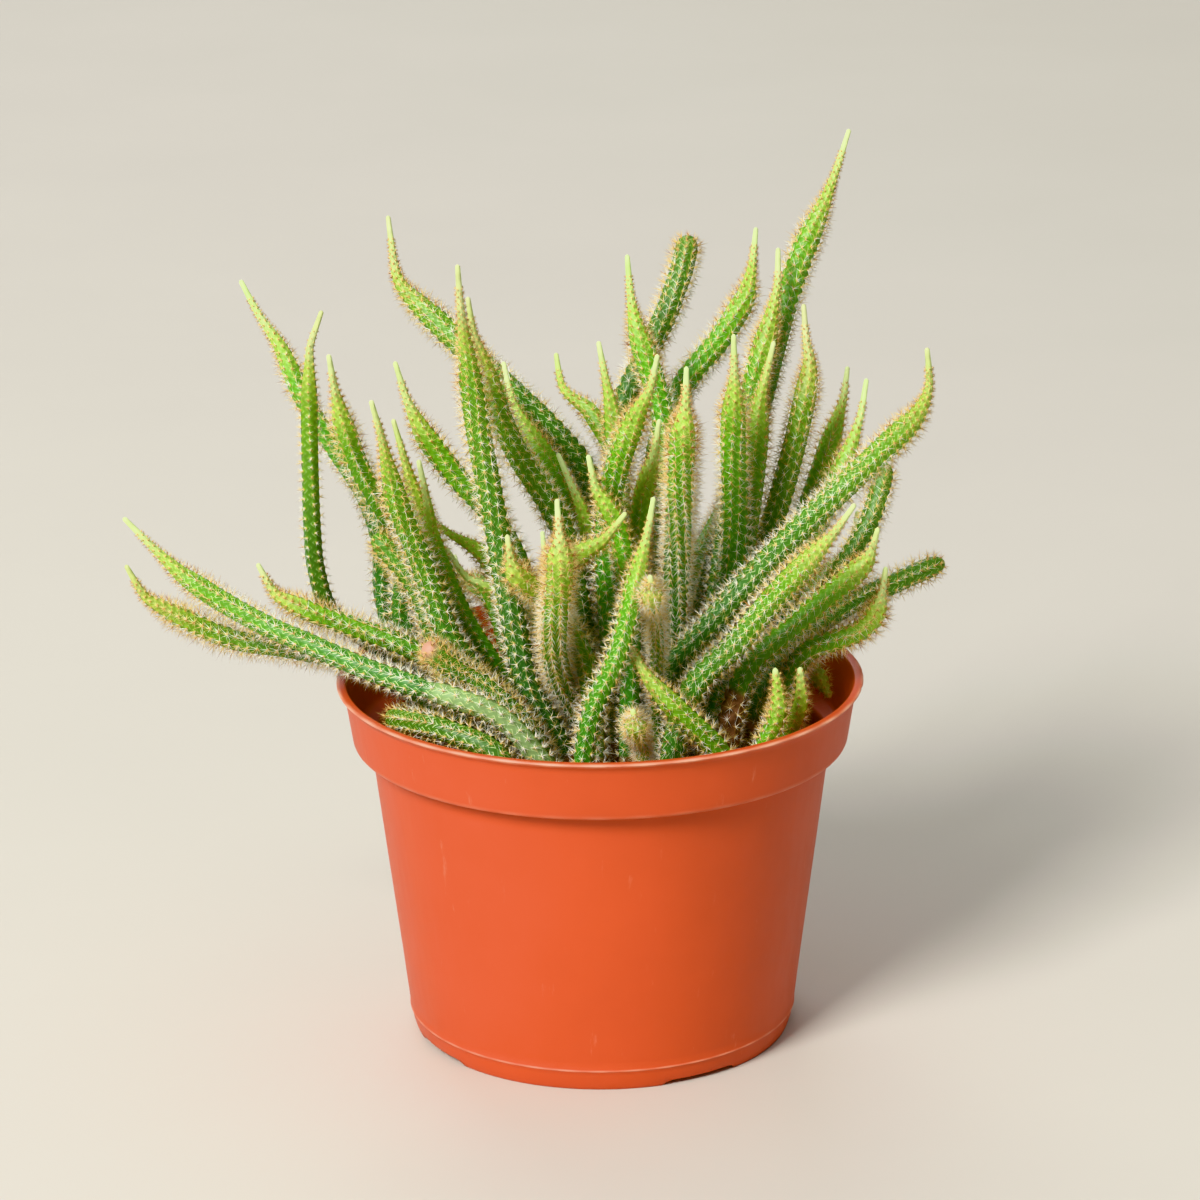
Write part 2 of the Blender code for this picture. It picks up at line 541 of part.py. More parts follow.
def pot_profile():
    """Section of the pot: down the outside, under the floor, over it and up the inside."""
    edge = COLLAR_EDGE_RADIUS
    outside = (
        (LIP_RADIUS, POT_HEIGHT),
        (LIP_RADIUS, POT_HEIGHT - LIP_THICKNESS),
        (COLLAR_TOP_RADIUS, COLLAR_TOP_Z),
        (COLLAR_LOW_RADIUS, COLLAR_LOW_Z),
        (COLLAR_LOW_RADIUS - 0.3 * edge, COLLAR_LOW_Z - 0.75 * edge),
        (COLLAR_LOW_RADIUS - edge, COLLAR_LOW_Z - edge),
        (LEDGE_RADIUS + 0.5 * edge, LEDGE_Z),
        (LEDGE_RADIUS, LEDGE_Z - 0.5 * edge),
        (BODY_LOW_RADIUS, BODY_LOW_Z),
        (HEEL_RADIUS, HEEL_Z),
        (FOOT_RADIUS, 0.0),
    )
    ring_inside = FOOT_RADIUS - FOOT_RING_WIDTH
    underside = (
        (ring_inside, 0.0),
        (ring_inside - FOOT_RING_DRAFT, FLOOR_UNDERSIDE_Z),
        (0.0, FLOOR_UNDERSIDE_Z),
    )
    inside = (
        (0.0, FLOOR_TOP_Z),
        (HEEL_RADIUS - WALL, FLOOR_TOP_Z),
        (BODY_LOW_RADIUS - WALL, BODY_LOW_Z),
        (LEDGE_RADIUS - WALL, LEDGE_Z),
        (LEDGE_RADIUS - 0.5 * edge, LEDGE_Z + WALL),
        (COLLAR_LOW_RADIUS - WALL - edge, COLLAR_LOW_Z - edge + WALL),
        (COLLAR_LOW_RADIUS - WALL, COLLAR_LOW_Z + WALL),
        (COLLAR_TOP_RADIUS - WALL, COLLAR_TOP_Z),
        (LIP_INNER_RADIUS, POT_HEIGHT - LIP_INNER_CHAMFER),
        (LIP_INNER_RADIUS, POT_HEIGHT),
    )
    return outside + underside + inside


def make_pot(collection, cutters, material):
    """Pot turned in one piece, with its drainage cut out."""
    pot = turned("pot", pot_profile(), collection, material)
    drains = bmesh.new()
    for bearing in DRAIN_BEARINGS:
        angle = math.radians(bearing - 90.0)
        corners = [(radius, angle + side * math.radians(span / 2), z)
                   for span, z in ((NOTCH_BOTTOM_SPAN, -1.0), (NOTCH_TOP_SPAN, NOTCH_HEIGHT))
                   for radius in NOTCH_REACH
                   for side in (-1, 1)]
        notch = [drains.verts.new((r * math.cos(a) * MM, r * math.sin(a) * MM, z * MM))
                 for r, a, z in corners]
        bmesh.ops.convex_hull(drains, input=notch)
        hole = bmesh.ops.create_cone(
            drains, cap_ends=True, segments=16, radius1=HOLE_RADIUS * MM,
            radius2=HOLE_RADIUS * MM, depth=HOLE_CUT_DEPTH * MM)["verts"]
        across = HOLE_RING_RADIUS * math.cos(angle)
        along = HOLE_RING_RADIUS * math.sin(angle)
        bmesh.ops.translate(drains, vec=(across * MM, along * MM, HOLE_CUT_Z * MM), verts=hole)
    bmesh.ops.recalc_face_normals(drains, faces=drains.faces)
    cut(pot, drains, "pot_drains", cutters)
    return pot


def cut(body, shape, name, cutters):
    """Take a shape away from a body."""
    mesh = bpy.data.meshes.new(name)
    shape.to_mesh(mesh)
    shape.free()
    cutter = link_mesh(name, mesh, cutters)
    cutter.hide_render = True
    cutter.display_type = "WIRE"
    boolean = body.modifiers.new(name, "BOOLEAN")
    boolean.operation = "DIFFERENCE"
    boolean.solver = "EXACT"
    boolean.object = cutter


def make_soil(sockets, collection, cutters, material):
    """Potting mix filling the pot, with a socket for the foot of every stem."""
    rim = (
        (SOIL_EDGE_RADIUS, SOIL_EDGE_Z),
        (BODY_LOW_RADIUS - WALL - SOIL_GAP, BODY_LOW_Z),
        (HEEL_RADIUS - WALL - SOIL_GAP, SOIL_BOTTOM_Z),
        (0.0, SOIL_BOTTOM_Z),
    )
    soil = turned("potting_mix", SOIL_MOUND + rim, collection, material)
    holes = bmesh.new()
    for foot, radius in sockets:
        across = (radius + SOCKET_SIDE_GAP) / math.cos(math.pi / 8)
        made = bmesh.ops.create_cone(
            holes, cap_ends=True, segments=8, radius1=across * MM, radius2=across * MM,
            depth=SOCKET_CUT_HEIGHT * MM)["verts"]
        middle = SOCKET_FLOOR_Z + SOCKET_CUT_HEIGHT / 2
        centre = (foot[0] * MM, foot[1] * MM, middle * MM)
        bmesh.ops.translate(holes, vec=centre, verts=made)
    cut(soil, holes, "stem_sockets", cutters)
    return soil


def main():
    """Build the pot, the stems and the potting mix they stand in."""
    clear_scene()
    parts, cutters = make_collections()
    terracotta = make_material("terracotta_plastic", (0.75, 0.14, 0.05), 0.4)
    mix = make_material("potting_mix", (0.03, 0.02, 0.015), 0.9)
    feet, routes = stem_routes()
    make_pot(parts, cutters, terracotta)
    sockets = []
    for (name, girth, tip, _, _, _), foot, route in zip(STEMS, feet, routes):
        green = make_material(name + "_skin", (0.13, 0.33, 0.05), 0.5)
        radius = make_stem(name, girth, tip, foot, route, green, parts)
        sockets.append((foot, radius))
    make_soil(sockets, parts, cutters, mix)


if __name__ == "__main__":
    main()
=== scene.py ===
"""Looks of the potted rat tail cactus: ribbed skins, woolly areoles, spines, pot and potting mix.

Lengths are in metres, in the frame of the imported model, unless a name ends in _mm.
"""

from __future__ import annotations

import json
import logging
import math
from dataclasses import dataclass, field
from enum import Enum

import bmesh
import bpy
import numpy as np
from mathutils import Matrix, Vector

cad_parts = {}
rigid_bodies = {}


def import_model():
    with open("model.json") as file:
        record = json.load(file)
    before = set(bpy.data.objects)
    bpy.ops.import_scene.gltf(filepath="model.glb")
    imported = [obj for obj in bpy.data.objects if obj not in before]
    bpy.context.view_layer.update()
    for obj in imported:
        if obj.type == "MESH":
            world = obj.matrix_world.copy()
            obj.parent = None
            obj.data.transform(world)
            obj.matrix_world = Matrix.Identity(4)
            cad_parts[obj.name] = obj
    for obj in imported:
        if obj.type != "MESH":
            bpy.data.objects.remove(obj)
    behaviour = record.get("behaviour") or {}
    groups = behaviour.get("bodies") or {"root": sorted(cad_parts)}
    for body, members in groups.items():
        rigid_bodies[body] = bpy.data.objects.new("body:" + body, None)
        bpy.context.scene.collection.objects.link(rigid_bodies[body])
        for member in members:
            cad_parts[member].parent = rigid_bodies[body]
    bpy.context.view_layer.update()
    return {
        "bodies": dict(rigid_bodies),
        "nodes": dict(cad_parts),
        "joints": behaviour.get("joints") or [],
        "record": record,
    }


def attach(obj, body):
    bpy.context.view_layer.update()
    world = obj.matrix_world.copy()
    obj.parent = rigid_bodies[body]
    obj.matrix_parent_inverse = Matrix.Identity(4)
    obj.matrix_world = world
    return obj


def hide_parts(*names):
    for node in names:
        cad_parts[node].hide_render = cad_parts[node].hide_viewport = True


LOG = logging.getLogger("rat_tail_cactus")
MM = 0.001
BODY = "root"
SAME_PLACE = 1e-7
Array = np.ndarray
Colour = tuple[float, float, float, float]


class TipKind(Enum):
    """How a stem ends."""

    WHIP = "thin spineless growing tail"
    BLUNT = "rounded end"


class Coat(Enum):
    """How dense the spines of a stem are."""

    SPARSE = "open, spines short"
    PLAIN = "even stars of spines"
    SHAGGY = "dense coat of young spines"
    FUR = "bud hidden in its spines"


class Tint(Enum):
    """Colours of spines and of the wool they grow from, as indices into their materials."""

    CREAM = 0
    STRAW = 1
    TAN = 2
    RUST = 3
    YOUNG_WOOL = 4
    OLD_WOOL = 5


@dataclass(frozen=True)
class CoatPlan:
    """What the coat of a stem is made of: spines on an areole, and how they stand."""

    spines: int
    lengths_mm: tuple[float, float]
    young_spacing_mm: float = 2.2
    rib_gap_mm: float = 2.3
    young_length: float = 0.3
    lean_to_tip: float = 0.45
    brownness: float = 1.0
    brown_wool: bool = True


COATS = {
    Coat.SPARSE: CoatPlan(7, (1.8, 2.6)),
    Coat.PLAIN: CoatPlan(9, (2.3, 3.6)),
    Coat.SHAGGY: CoatPlan(13, (2.8, 4.3)),
    Coat.FUR: CoatPlan(11, (3.0, 4.2), 1.5, 1.9, 0.75, 0.1, 0.2, brown_wool=False),
}


def srgb(red: int, green: int, blue: int) -> Colour:
    """Linear colour with full alpha from display values of 0 to 255.

    Args:
        red: Display red.
        green: Display green.
        blue: Display blue.

    Returns:
        The colour.
    """
    shares = (value / 255 for value in (red, green, blue))
    linear = [s / 12.92 if s <= 0.04045 else ((s + 0.055) / 1.055) ** 2.4 for s in shares]
    return (*linear, 1.0)


@dataclass
class NodeBench:
    """Places and links the nodes of one material or node group."""

    tree: bpy.types.NodeTree
    column: int = 0

    def add(self, kind: str, **settings: object) -> bpy.types.Node:
        """Place a node.

        Args:
            kind: The node's Blender type name.
            **settings: Attributes to set on it.

        Returns:
            The new node.
        """
        node = self.tree.nodes.new(kind)
        node.location = (self.column * 190, -(self.column % 4) * 160)
        self.column += 1
        for name, value in settings.items():
            setattr(node, name, value)
        return node

    def feed(self, socket: bpy.types.NodeSocket, value: object) -> None:
        """Link an output into a socket, or set the socket to a plain value.

        Args:
            socket: The input socket.
            value: An output socket, or a number or colour.
        """
        if isinstance(value, bpy.types.NodeSocket):
            self.tree.links.new(value, socket)
        else:
            socket.default_value = value

    def math(self, operation: str, *values: object) -> bpy.types.NodeSocket:
        """Result of a math operation.

        Args:
            operation: Blender's name of it.
            *values: One to three sockets or numbers.

        Returns:
            The result's socket.
        """
        node = self.add("ShaderNodeMath", operation=operation)
        for socket, value in zip(node.inputs, values):
            self.feed(socket, value)
        return node.outputs[0]

    def times(self, first: object, *others: object) -> bpy.types.NodeSocket:
        """Product of two or more values.

        Args:
            first: A socket or a number.
            *others: What it is multiplied by, in order.

        Returns:
            The product's socket.
        """
        for other in others:
            first = self.math("MULTIPLY", first, other)
        return first

    def plus(self, first: object, *others: object) -> bpy.types.NodeSocket:
        """Sum of two or more values.

        Args:
            first: A socket or a number.
            *others: What is added to it, in order.

        Returns:
            The sum's socket.
        """
        for other in others:
            first = self.math("ADD", first, other)
        return first

    def minus(self, first: object, second: object) -> bpy.types.NodeSocket:
        """First value less the second."""
        return self.math("SUBTRACT", first, second)

    def place(self) -> bpy.types.NodeSocket:
        """Place on the piece, in metres."""
        return self.add("ShaderNodeTexCoord").outputs["Object"]

    def stored(self, name: str) -> bpy.types.NodeSocket:
        """Number that the mesh stores at each point under a name."""
        return self.add("ShaderNodeAttribute", attribute_name=name).outputs["Fac"]

    def bump(self, height: object, depth_mm: float, strength: float) -> bpy.types.NodeSocket:
        """Surface direction tipped by a height from 0 to 1.

        Args:
            height: The height.
            depth_mm: How high 1 stands.
            strength: How much of the tipping shows.

        Returns:
            The direction's socket, for a shader's Normal.
        """
        node = self.add("ShaderNodeBump")
        node.inputs["Distance"].default_value = depth_mm * MM
        node.inputs["Strength"].default_value = strength
        self.feed(node.inputs["Height"], height)
        return node.outputs[0]

    def mix(self, share: object, first: object, second: object,
            blend: str = "MIX") -> bpy.types.NodeSocket:
        """Colour mixed between two colours.

        Args:
            share: How much of the second colour, 0 to 1.
            first: The colour at 0.
            second: The colour at 1.
            blend: The blend type.

        Returns:
            The mixed colour's socket.
        """
        node = self.add("ShaderNodeMix", data_type="RGBA", blend_type=blend)
        for index, value in zip((0, 6, 7), (share, first, second)):
            self.feed(node.inputs[index], value)
        return node.outputs[2]

    def span(self, value: object, low: float, high: float, to_low: float = 0.0,
             to_high: float = 1.0) -> bpy.types.NodeSocket:
        """Value carried smoothly from one range onto another.

        Args:
            value: The value.
            low: Where its range starts.
            high: Where its range ends.
            to_low: What it becomes at low.
            to_high: What it becomes at high.

        Returns:
            The carried value's socket.
        """
        node = self.add("ShaderNodeMapRange", interpolation_type="SMOOTHSTEP")
        for index, item in enumerate((value, low, high, to_low, to_high)):
            self.feed(node.inputs[index], item)
        return node.outputs[0]

    def noise(self, where: object, scale: object, detail: float = 3.0,
              roughness: float = 0.5) -> bpy.types.NodeSocket:
        """Noise value at a place.

        Args:
            where: The place.
            scale: Cycles per metre.
            detail: How many finer layers.
            roughness: How strong the finer layers are.

        Returns:
            The value's socket.
        """
        node = self.add("ShaderNodeTexNoise")
        self.feed(node.inputs["Vector"], where)
        self.feed(node.inputs["Scale"], scale)
        node.inputs["Detail"].default_value = detail
        node.inputs["Roughness"].default_value = roughness
        return node.outputs[0]

    def ramp(self, value: object,
             stops: tuple[tuple[float, Colour], ...]) -> bpy.types.NodeSocket:
        """Colour read from a ramp of (position, colour) stops.

        Args:
            value: Where on the ramp.
            stops: Its stops, in order.

        Returns:
            The colour's socket.
        """
        node = self.add("ShaderNodeValToRGB")
        elements = node.color_ramp.elements
        while len(elements) < len(stops):
            elements.new(0.5)
        for element, (position, colour) in zip(elements, stops):
            element.position = position
            element.color = colour
        self.feed(node.inputs[0], value)
        return node.outputs[0]


def new_group(name: str, inputs: dict[str, str], outputs: dict[str, str]) -> NodeBench:
    """Start a shader node group.

    Args:
        name: The group's name.
        inputs: Input names and socket types.
        outputs: Output names and socket types.

    Returns:
        A bench on the group, with its group input and output nodes placed.
    """
    tree = bpy.data.node_groups.new(name, "ShaderNodeTree")
    for direction, sockets in (("INPUT", inputs), ("OUTPUT", outputs)):
        for title, kind in sockets.items():
            tree.interface.new_socket(name=title, in_out=direction, socket_type=kind)
    bench = NodeBench(tree)
    bench.add("NodeGroupInput", name="in")
    bench.add("NodeGroupOutput", name="out")
    return bench


def mottle_group() -> bpy.types.NodeTree:
    """Group for cloudy variation of a colour with a matching fine surface grain.

    Returns:
        The node group, made once and then found again by its name.
    """
    name = "mottle"
    if name in bpy.data.node_groups:
        return bpy.data.node_groups[name]
    bench = new_group(
        name,
        {"Place": "NodeSocketVector", "Colour": "NodeSocketColor", "Cloud Scale": "NodeSocketFloat",
         "Grain Scale": "NodeSocketFloat", "Strength": "NodeSocketFloat"},
        {"Colour": "NodeSocketColor", "Cloud": "NodeSocketFloat", "Grain": "NodeSocketFloat"})
    given = bench.tree.nodes["in"].outputs
    made = bench.tree.nodes["out"].inputs
    cloud = bench.noise(given["Place"], given["Cloud Scale"], 4.0, 0.55)
    grain = bench.noise(given["Place"], given["Grain Scale"], 2.0, 0.6)
    swing = bench.times(bench.minus(cloud, 0.5), given["Strength"])
    light = bench.plus(1.0, bench.times(swing, 2.0))
    shade = bench.add("ShaderNodeCombineColor")
    for socket in shade.inputs:
        bench.feed(socket, light)
    bench.feed(made["Colour"], bench.mix(1.0, given["Colour"], shade.outputs[0], "MULTIPLY"))
    bench.feed(made["Cloud"], cloud)
    bench.feed(made["Grain"], grain)
    return bench.tree


def place_group(bench: NodeBench, tree: bpy.types.NodeTree, **values: object) -> bpy.types.Node:
    """Place a node group in a material.

    Args:
        bench: The material's bench.
        tree: The node group.
        **values: Inputs by name, with _ for a space.

    Returns:
        The group node.
    """
    node = bench.add("ShaderNodeGroup", node_tree=tree)
    for name, value in values.items():
        bench.feed(node.inputs[name.replace("_", " ")], value)
    return node


def new_material(name: str) -> tuple[bpy.types.Material, NodeBench, bpy.types.Node]:
    """Start a material with one Principled shader.

    Args:
        name: The material's name.

    Returns:
        The material, a bench on its nodes, and its shader.
    """
    material = bpy.data.materials.new(name)
    material.use_nodes = True
    return material, NodeBench(material.node_tree), material.node_tree.nodes["Principled BSDF"]


@dataclass(frozen=True)
class SkinFinish:
    """Waxy knobbly skin: pale at the growing tip, bright green below it, deep green at the foot,
    with painted shade in the furrows between its tubercles and painted highlights along their
    edges.
    """

    tail: Colour = srgb(226, 238, 172)
    young: Colour = srgb(186, 216, 90)
    fresh: Colour = srgb(112, 174, 32)
    grown: Colour = srgb(76, 140, 36)
    old: Colour = srgb(58, 112, 58)
    cork: Colour = srgb(150, 112, 84)
    bark: Colour = srgb(86, 58, 40)
    callus: Colour = srgb(208, 158, 132)
    # Pale bloom of the frosted growth past a joint; also the colour of the painted highlights along
    # the tubercle edges.
    bloom: Colour = srgb(206, 230, 160)
    # Painted shade: a darker green mixed into the furrows between the tubercles.
    furrow: Colour = srgb(44, 98, 24)
    halo: Colour = srgb(190, 216, 92)
    young_wool: Colour = srgb(178, 100, 42)
    old_wool: Colour = srgb(222, 190, 104)
    roughness: float = 0.38
    areole_radius: float = 0.105
    dome_mm: float = 0.3
    dome_strength: float = 0.45
    grain_mm: float = 0.05
    drift_scale: float = 60.0
    cloud_scale: float = 420.0
    grain_scale: float = 2600.0
    cloudiness: float = 0.36
    furrow_share: float = 0.24
    frost_share: float = 0.36
    halo_share: float = 0.35

    def lattice(self) -> bpy.types.NodeTree:
        """Group that finds the areoles, tubercles and furrows from the skin's own map.

        Returns:
            The node group: u counts the ribs and v the areoles along a rib, with every
            second rib half a step ahead.
        """
        bench = new_group(
            "areole_lattice", {"Map": "NodeSocketVector", "Radius": "NodeSocketFloat"},
            {"Areole": "NodeSocketFloat", "Halo": "NodeSocketFloat", "Furrow": "NodeSocketFloat",
             "Saddle": "NodeSocketFloat", "Dome": "NodeSocketFloat"})
        given = bench.tree.nodes["in"].outputs
        made = bench.tree.nodes["out"].inputs
        parts = bench.add("ShaderNodeSeparateXYZ")
        bench.feed(parts.inputs[0], given["Map"])
        rib = bench.math("ROUND", parts.outputs[0])
        aside = bench.math("ABSOLUTE", bench.minus(parts.outputs[0], rib))
        ahead = bench.times(bench.math("FLOORED_MODULO", rib, 2.0), 0.5)
        step = bench.math("FRACT", bench.plus(parts.outputs[1], ahead, 0.5))
        along = bench.math("ABSOLUTE", bench.minus(step, 0.5))
        reach = bench.math("SQRT", bench.plus(bench.times(aside, aside), bench.times(along, along)))
        near = bench.math("DIVIDE", reach, given["Radius"])
        bench.feed(made["Areole"], bench.span(near, 0.7, 1.15, 1.0, 0.0))
        bench.feed(made["Halo"], bench.span(near, 1.0, 2.4, 1.0, 0.0))
        lozenge = bench.plus(aside, along)
        bench.feed(made["Furrow"], bench.span(lozenge, 0.34, 0.54))
        bench.feed(made["Dome"], bench.span(lozenge, 0.0, 0.55, 1.0, 0.0))
        # Painted highlight: a thin pale line along the tubercle edges, weaker on their side towards
        # the tip.
        edge = bench.math("ABSOLUTE", bench.minus(lozenge, 0.44))
        upper = bench.span(step, 0.3, 0.55, 0.2, 1.0)
        bench.feed(made["Saddle"], bench.times(bench.span(edge, 0.01, 0.085, 1.0, 0.0), upper))
        return bench.tree

    def material(self) -> bpy.types.Material:
        """Skin material, read from the numbers stored on the skin and from its rib map.

        Returns:
            The material.
        """
        made, bench, shader = new_material("cactus_skin")
        place = bench.place()
        rib_map = bench.add("ShaderNodeUVMap", uv_map="ribs").outputs[0]
        age, tone, spiny, corky, waxy, callous, frost = (
            bench.stored(name)
            for name in ("age", "tone", "spiny", "cork", "wax", "callus", "frost"))
        marks = place_group(bench, self.lattice(), Map=rib_map, Radius=self.areole_radius).outputs
        drift = bench.noise(place, self.drift_scale)
        flesh = bench.ramp(bench.plus(age, bench.times(bench.minus(drift, 0.5), 0.2)), (
            (0.0, self.tail), (0.1, self.young), (0.24, self.fresh), (0.5, self.grown),
            (0.85, self.old)))
        cloud = place_group(bench, mottle_group(), Place=place, Colour=flesh,
                            Cloud_Scale=self.cloud_scale, Grain_Scale=self.grain_scale,
                            Strength=self.cloudiness).outputs
        toned = bench.add("ShaderNodeHueSaturation")
        bench.feed(toned.inputs["Color"], cloud["Colour"])
        bench.feed(toned.inputs["Hue"], bench.plus(0.487, bench.times(tone, 0.03)))
        bench.feed(toned.inputs["Value"], bench.plus(0.78, bench.times(tone, 0.34)))
        # Painted shade: the furrows between the tubercles are mixed towards a darker green, where
        # shade falls.
        shaded_furrow = bench.times(marks["Furrow"], self.furrow_share, spiny)
        skin = bench.mix(shaded_furrow, toned.outputs[0], self.furrow)
        skin = bench.mix(bench.times(frost, self.frost_share), skin, self.bloom)
        # Painted highlight: pale sheen patches along the tubercle edges, strongest on the
        # highlighted stems.
        patchy = bench.span(cloud["Cloud"], 0.38, 0.58, 0.3, 1.0)
        skin = bench.mix(bench.times(marks["Saddle"], patchy, waxy), skin, self.bloom)
        skin = bench.mix(bench.times(marks["Halo"], spiny, self.halo_share), skin, self.halo)
        bark = bench.mix(bench.span(cloud["Cloud"], 0.35, 0.65), self.cork, self.bark)
        barky = bench.span(bench.plus(corky, bench.minus(drift, 0.5)), 0.3, 0.7)
        skin = bench.mix(callous, bench.mix(barky, skin, bark), self.callus)
        wool = bench.mix(bench.span(age, 0.16, 0.4), self.young_wool, self.old_wool)
        bench.feed(shader.inputs["Base Color"],
                   bench.mix(bench.times(marks["Areole"], spiny), skin, wool))
        rough = bench.plus(self.roughness, bench.times(cloud["Grain"], 0.2))
        bench.feed(shader.inputs["Roughness"], bench.plus(rough, bench.times(corky, 0.4)))
        height = bench.plus(bench.times(marks["Dome"], spiny),
                            bench.times(cloud["Grain"], self.grain_mm / self.dome_mm))
        bench.feed(shader.inputs["Normal"], bench.bump(height, self.dome_mm, self.dome_strength))
        return made


@dataclass(frozen=True)
class SpineFinish:
    """Horny spines and the wool they grow from, each plain along its length."""

    cream: Colour = srgb(254, 251, 234)
    straw: Colour = srgb(242, 216, 142)
    tan: Colour = srgb(206, 158, 94)
    rust: Colour = srgb(156, 92, 46)
    young_wool: Colour = srgb(184, 108, 50)
    old_wool: Colour = srgb(222, 188, 108)
    spine_roughness: float = 0.35
    wool_roughness: float = 0.9

    def materials(self) -> list[bpy.types.Material]:
        """Make one material for each tint.

        Returns:
            The materials, in the order of Tint.
        """
        made = []
        for tint in Tint:
            name = tint.name.lower()
            material, _, shader = new_material(f"areole_{name}")
            shader.inputs["Base Color"].default_value = getattr(self, name)
            soft = tint in (Tint.YOUNG_WOOL, Tint.OLD_WOOL)
            shader.inputs["Roughness"].default_value = (
                self.wool_roughness if soft else self.spine_roughness)
            made.append(material)
        return made


@dataclass(frozen=True)
class PotFinish:
    """Satin terracotta-orange moulded plastic, with faint flow marks and scuffs, and a pale line
    along its edges that is partly rubbing and partly painted highlight.
    """

    colour: Colour = srgb(205, 86, 50)
    # Pale colour of rubbing, also used for the painted highlight along the lip and collar edges.
    rubbed: Colour = srgb(250, 190, 158)
    roughness: float = 0.36
    scuffs: float = 0.25
    edge_wear: float = 0.95
    ripple_mm: float = 0.05
    cloud_scale: float = 26.0
    grain_scale: float = 1500.0
    cloudiness: float = 0.12
    streak_scale: float = 240.0
    streak_squeeze: tuple[float, float, float] = (1.0, 1.0, 0.16)

    def material(self) -> bpy.types.Material:
        """Pot material, worked out from the place on the pot.

        Returns:
            The material.
        """
        made, bench, shader = new_material("terracotta_plastic")
        place = bench.place()
        cloud = place_group(bench, mottle_group(), Place=place, Colour=self.colour,
                            Cloud_Scale=self.cloud_scale, Grain_Scale=self.grain_scale,
                            Strength=self.cloudiness).outputs
        stretched = bench.add("ShaderNodeMapping")
        bench.feed(stretched.inputs["Vector"], place)
        stretched.inputs["Scale"].default_value = self.streak_squeeze
        streaks = bench.noise(stretched.outputs[0], self.streak_scale, 5.0, 0.7)
        rub = bench.times(bench.span(streaks, 0.62, 0.8), self.scuffs)
        # Painted highlight: the pale line on the lip's outer edge and the collar's lower edge is
        # partly real rubbing, partly highlight.
        worn_and_highlit = bench.math("MAXIMUM", rub, bench.times(bench.stored("edge"), self.edge_wear))
        bench.feed(shader.inputs["Base Color"], bench.mix(worn_and_highlit, cloud["Colour"], self.rubbed))
        bench.feed(shader.inputs["Roughness"],
                   bench.plus(self.roughness, bench.times(streaks, 0.16)))
        height = bench.plus(bench.times(cloud["Grain"], 0.35), cloud["Cloud"])
        bench.feed(shader.inputs["Normal"], bench.bump(height, self.ripple_mm, 0.5))
        return made


@dataclass(frozen=True)
class MixFinish:
    """Peaty potting mix with paler grains of grit and bark."""

    peat: Colour = srgb(46, 34, 26)
    crumb: Colour = srgb(84, 62, 46)
    grit: Colour = srgb(150, 134, 116)
    crumb_mm: float = 0.5
    cloud_scale: float = 180.0
    grain_scale: float = 1400.0
    cloudiness: float = 0.5

    def material(self, name: str, base: Colour, top: Colour) -> bpy.types.Material:
        """Material of the mix or of one kind of grain.

        Args:
            name: The material's name.
            base: The darker colour.
            top: The paler colour.

        Returns:
            The material.
        """
        made, bench, shader = new_material(name)
        cloud = place_group(bench, mottle_group(), Place=bench.place(), Colour=base,
                            Cloud_Scale=self.cloud_scale, Grain_Scale=self.grain_scale,
                            Strength=self.cloudiness).outputs
        specks = bench.span(cloud["Grain"], 0.55, 0.7)
        bench.feed(shader.inputs["Base Color"], bench.mix(specks, cloud["Colour"], top))
        bench.feed(shader.inputs["Roughness"], bench.span(cloud["Cloud"], 0.3, 0.7, 0.78, 0.97))
        bench.feed(shader.inputs["Normal"], bench.bump(cloud["Grain"], self.crumb_mm, 1.0))
        return made


def put_in_scene(name: str, data: bpy.types.ID) -> bpy.types.Object:
    """Link an object of a mesh, light or camera into the scene.

    Args:
        name: The object's name.
        data: The mesh, light or camera.

    Returns:
        The object.
    """
    placed = bpy.data.objects.new(name, data)
    bpy.context.scene.collection.objects.link(placed)
    return placed


def add_piece(name: str, mesh: bpy.types.Mesh, slot: str, *stands_for: str) -> bpy.types.Object:
    """Link a mesh as a piece of the object.

    Args:
        name: The piece's name.
        mesh: Its mesh, in the object's own frame.
        slot: Name of the record's material slot for the piece; not used.
        *stands_for: Solids it replaces.

    Returns:
        The linked object.
    """
    piece = put_in_scene(name, mesh)
    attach(piece, BODY)
    if stands_for:
        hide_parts(*stands_for)
    return piece


def grid_mesh(name: str, points: Array) -> bpy.types.Mesh:
    """Smooth mesh from a grid of points, rows by columns.

    Args:
        name: The mesh's name.
        points: Array of rows, columns and coordinates.

    Returns:
        The mesh, a tube whose last column joins its first, with open ends.
    """
    rows, columns = points.shape[:2]
    row, column = np.meshgrid(np.arange(rows - 1), np.arange(columns), indexing="ij")
    after = (column + 1) % columns
    quads = np.stack((row * columns + column, row * columns + after,
                      (row + 1) * columns + after, (row + 1) * columns + column), axis=-1)
    return mesh_from(name, points.reshape(-1, 3), quads.reshape(-1, 4))


def mesh_from(name: str, points: Array, faces: Array) -> bpy.types.Mesh:
    """Smooth mesh from points and faces.

    Args:
        name: The mesh's name.
        points: Their places.
        faces: Corner numbers of every face, all with as many corners.

    Returns:
        The mesh.
    """
    corners = faces.shape[1]
    mesh = bpy.data.meshes.new(name)
    mesh.vertices.add(len(points))
    mesh.vertices.foreach_set("co", points.astype(np.float32).ravel())
    mesh.loops.add(faces.size)
    mesh.loops.foreach_set("vertex_index", faces.astype(np.int32).ravel())
    mesh.polygons.add(len(faces))
    mesh.polygons.foreach_set("loop_start", np.arange(0, faces.size, corners, dtype=np.int32))
    mesh.polygons.foreach_set("loop_total", np.full(len(faces), corners, dtype=np.int32))
    mesh.update(calc_edges=True)
    mesh.shade_smooth()
    return mesh


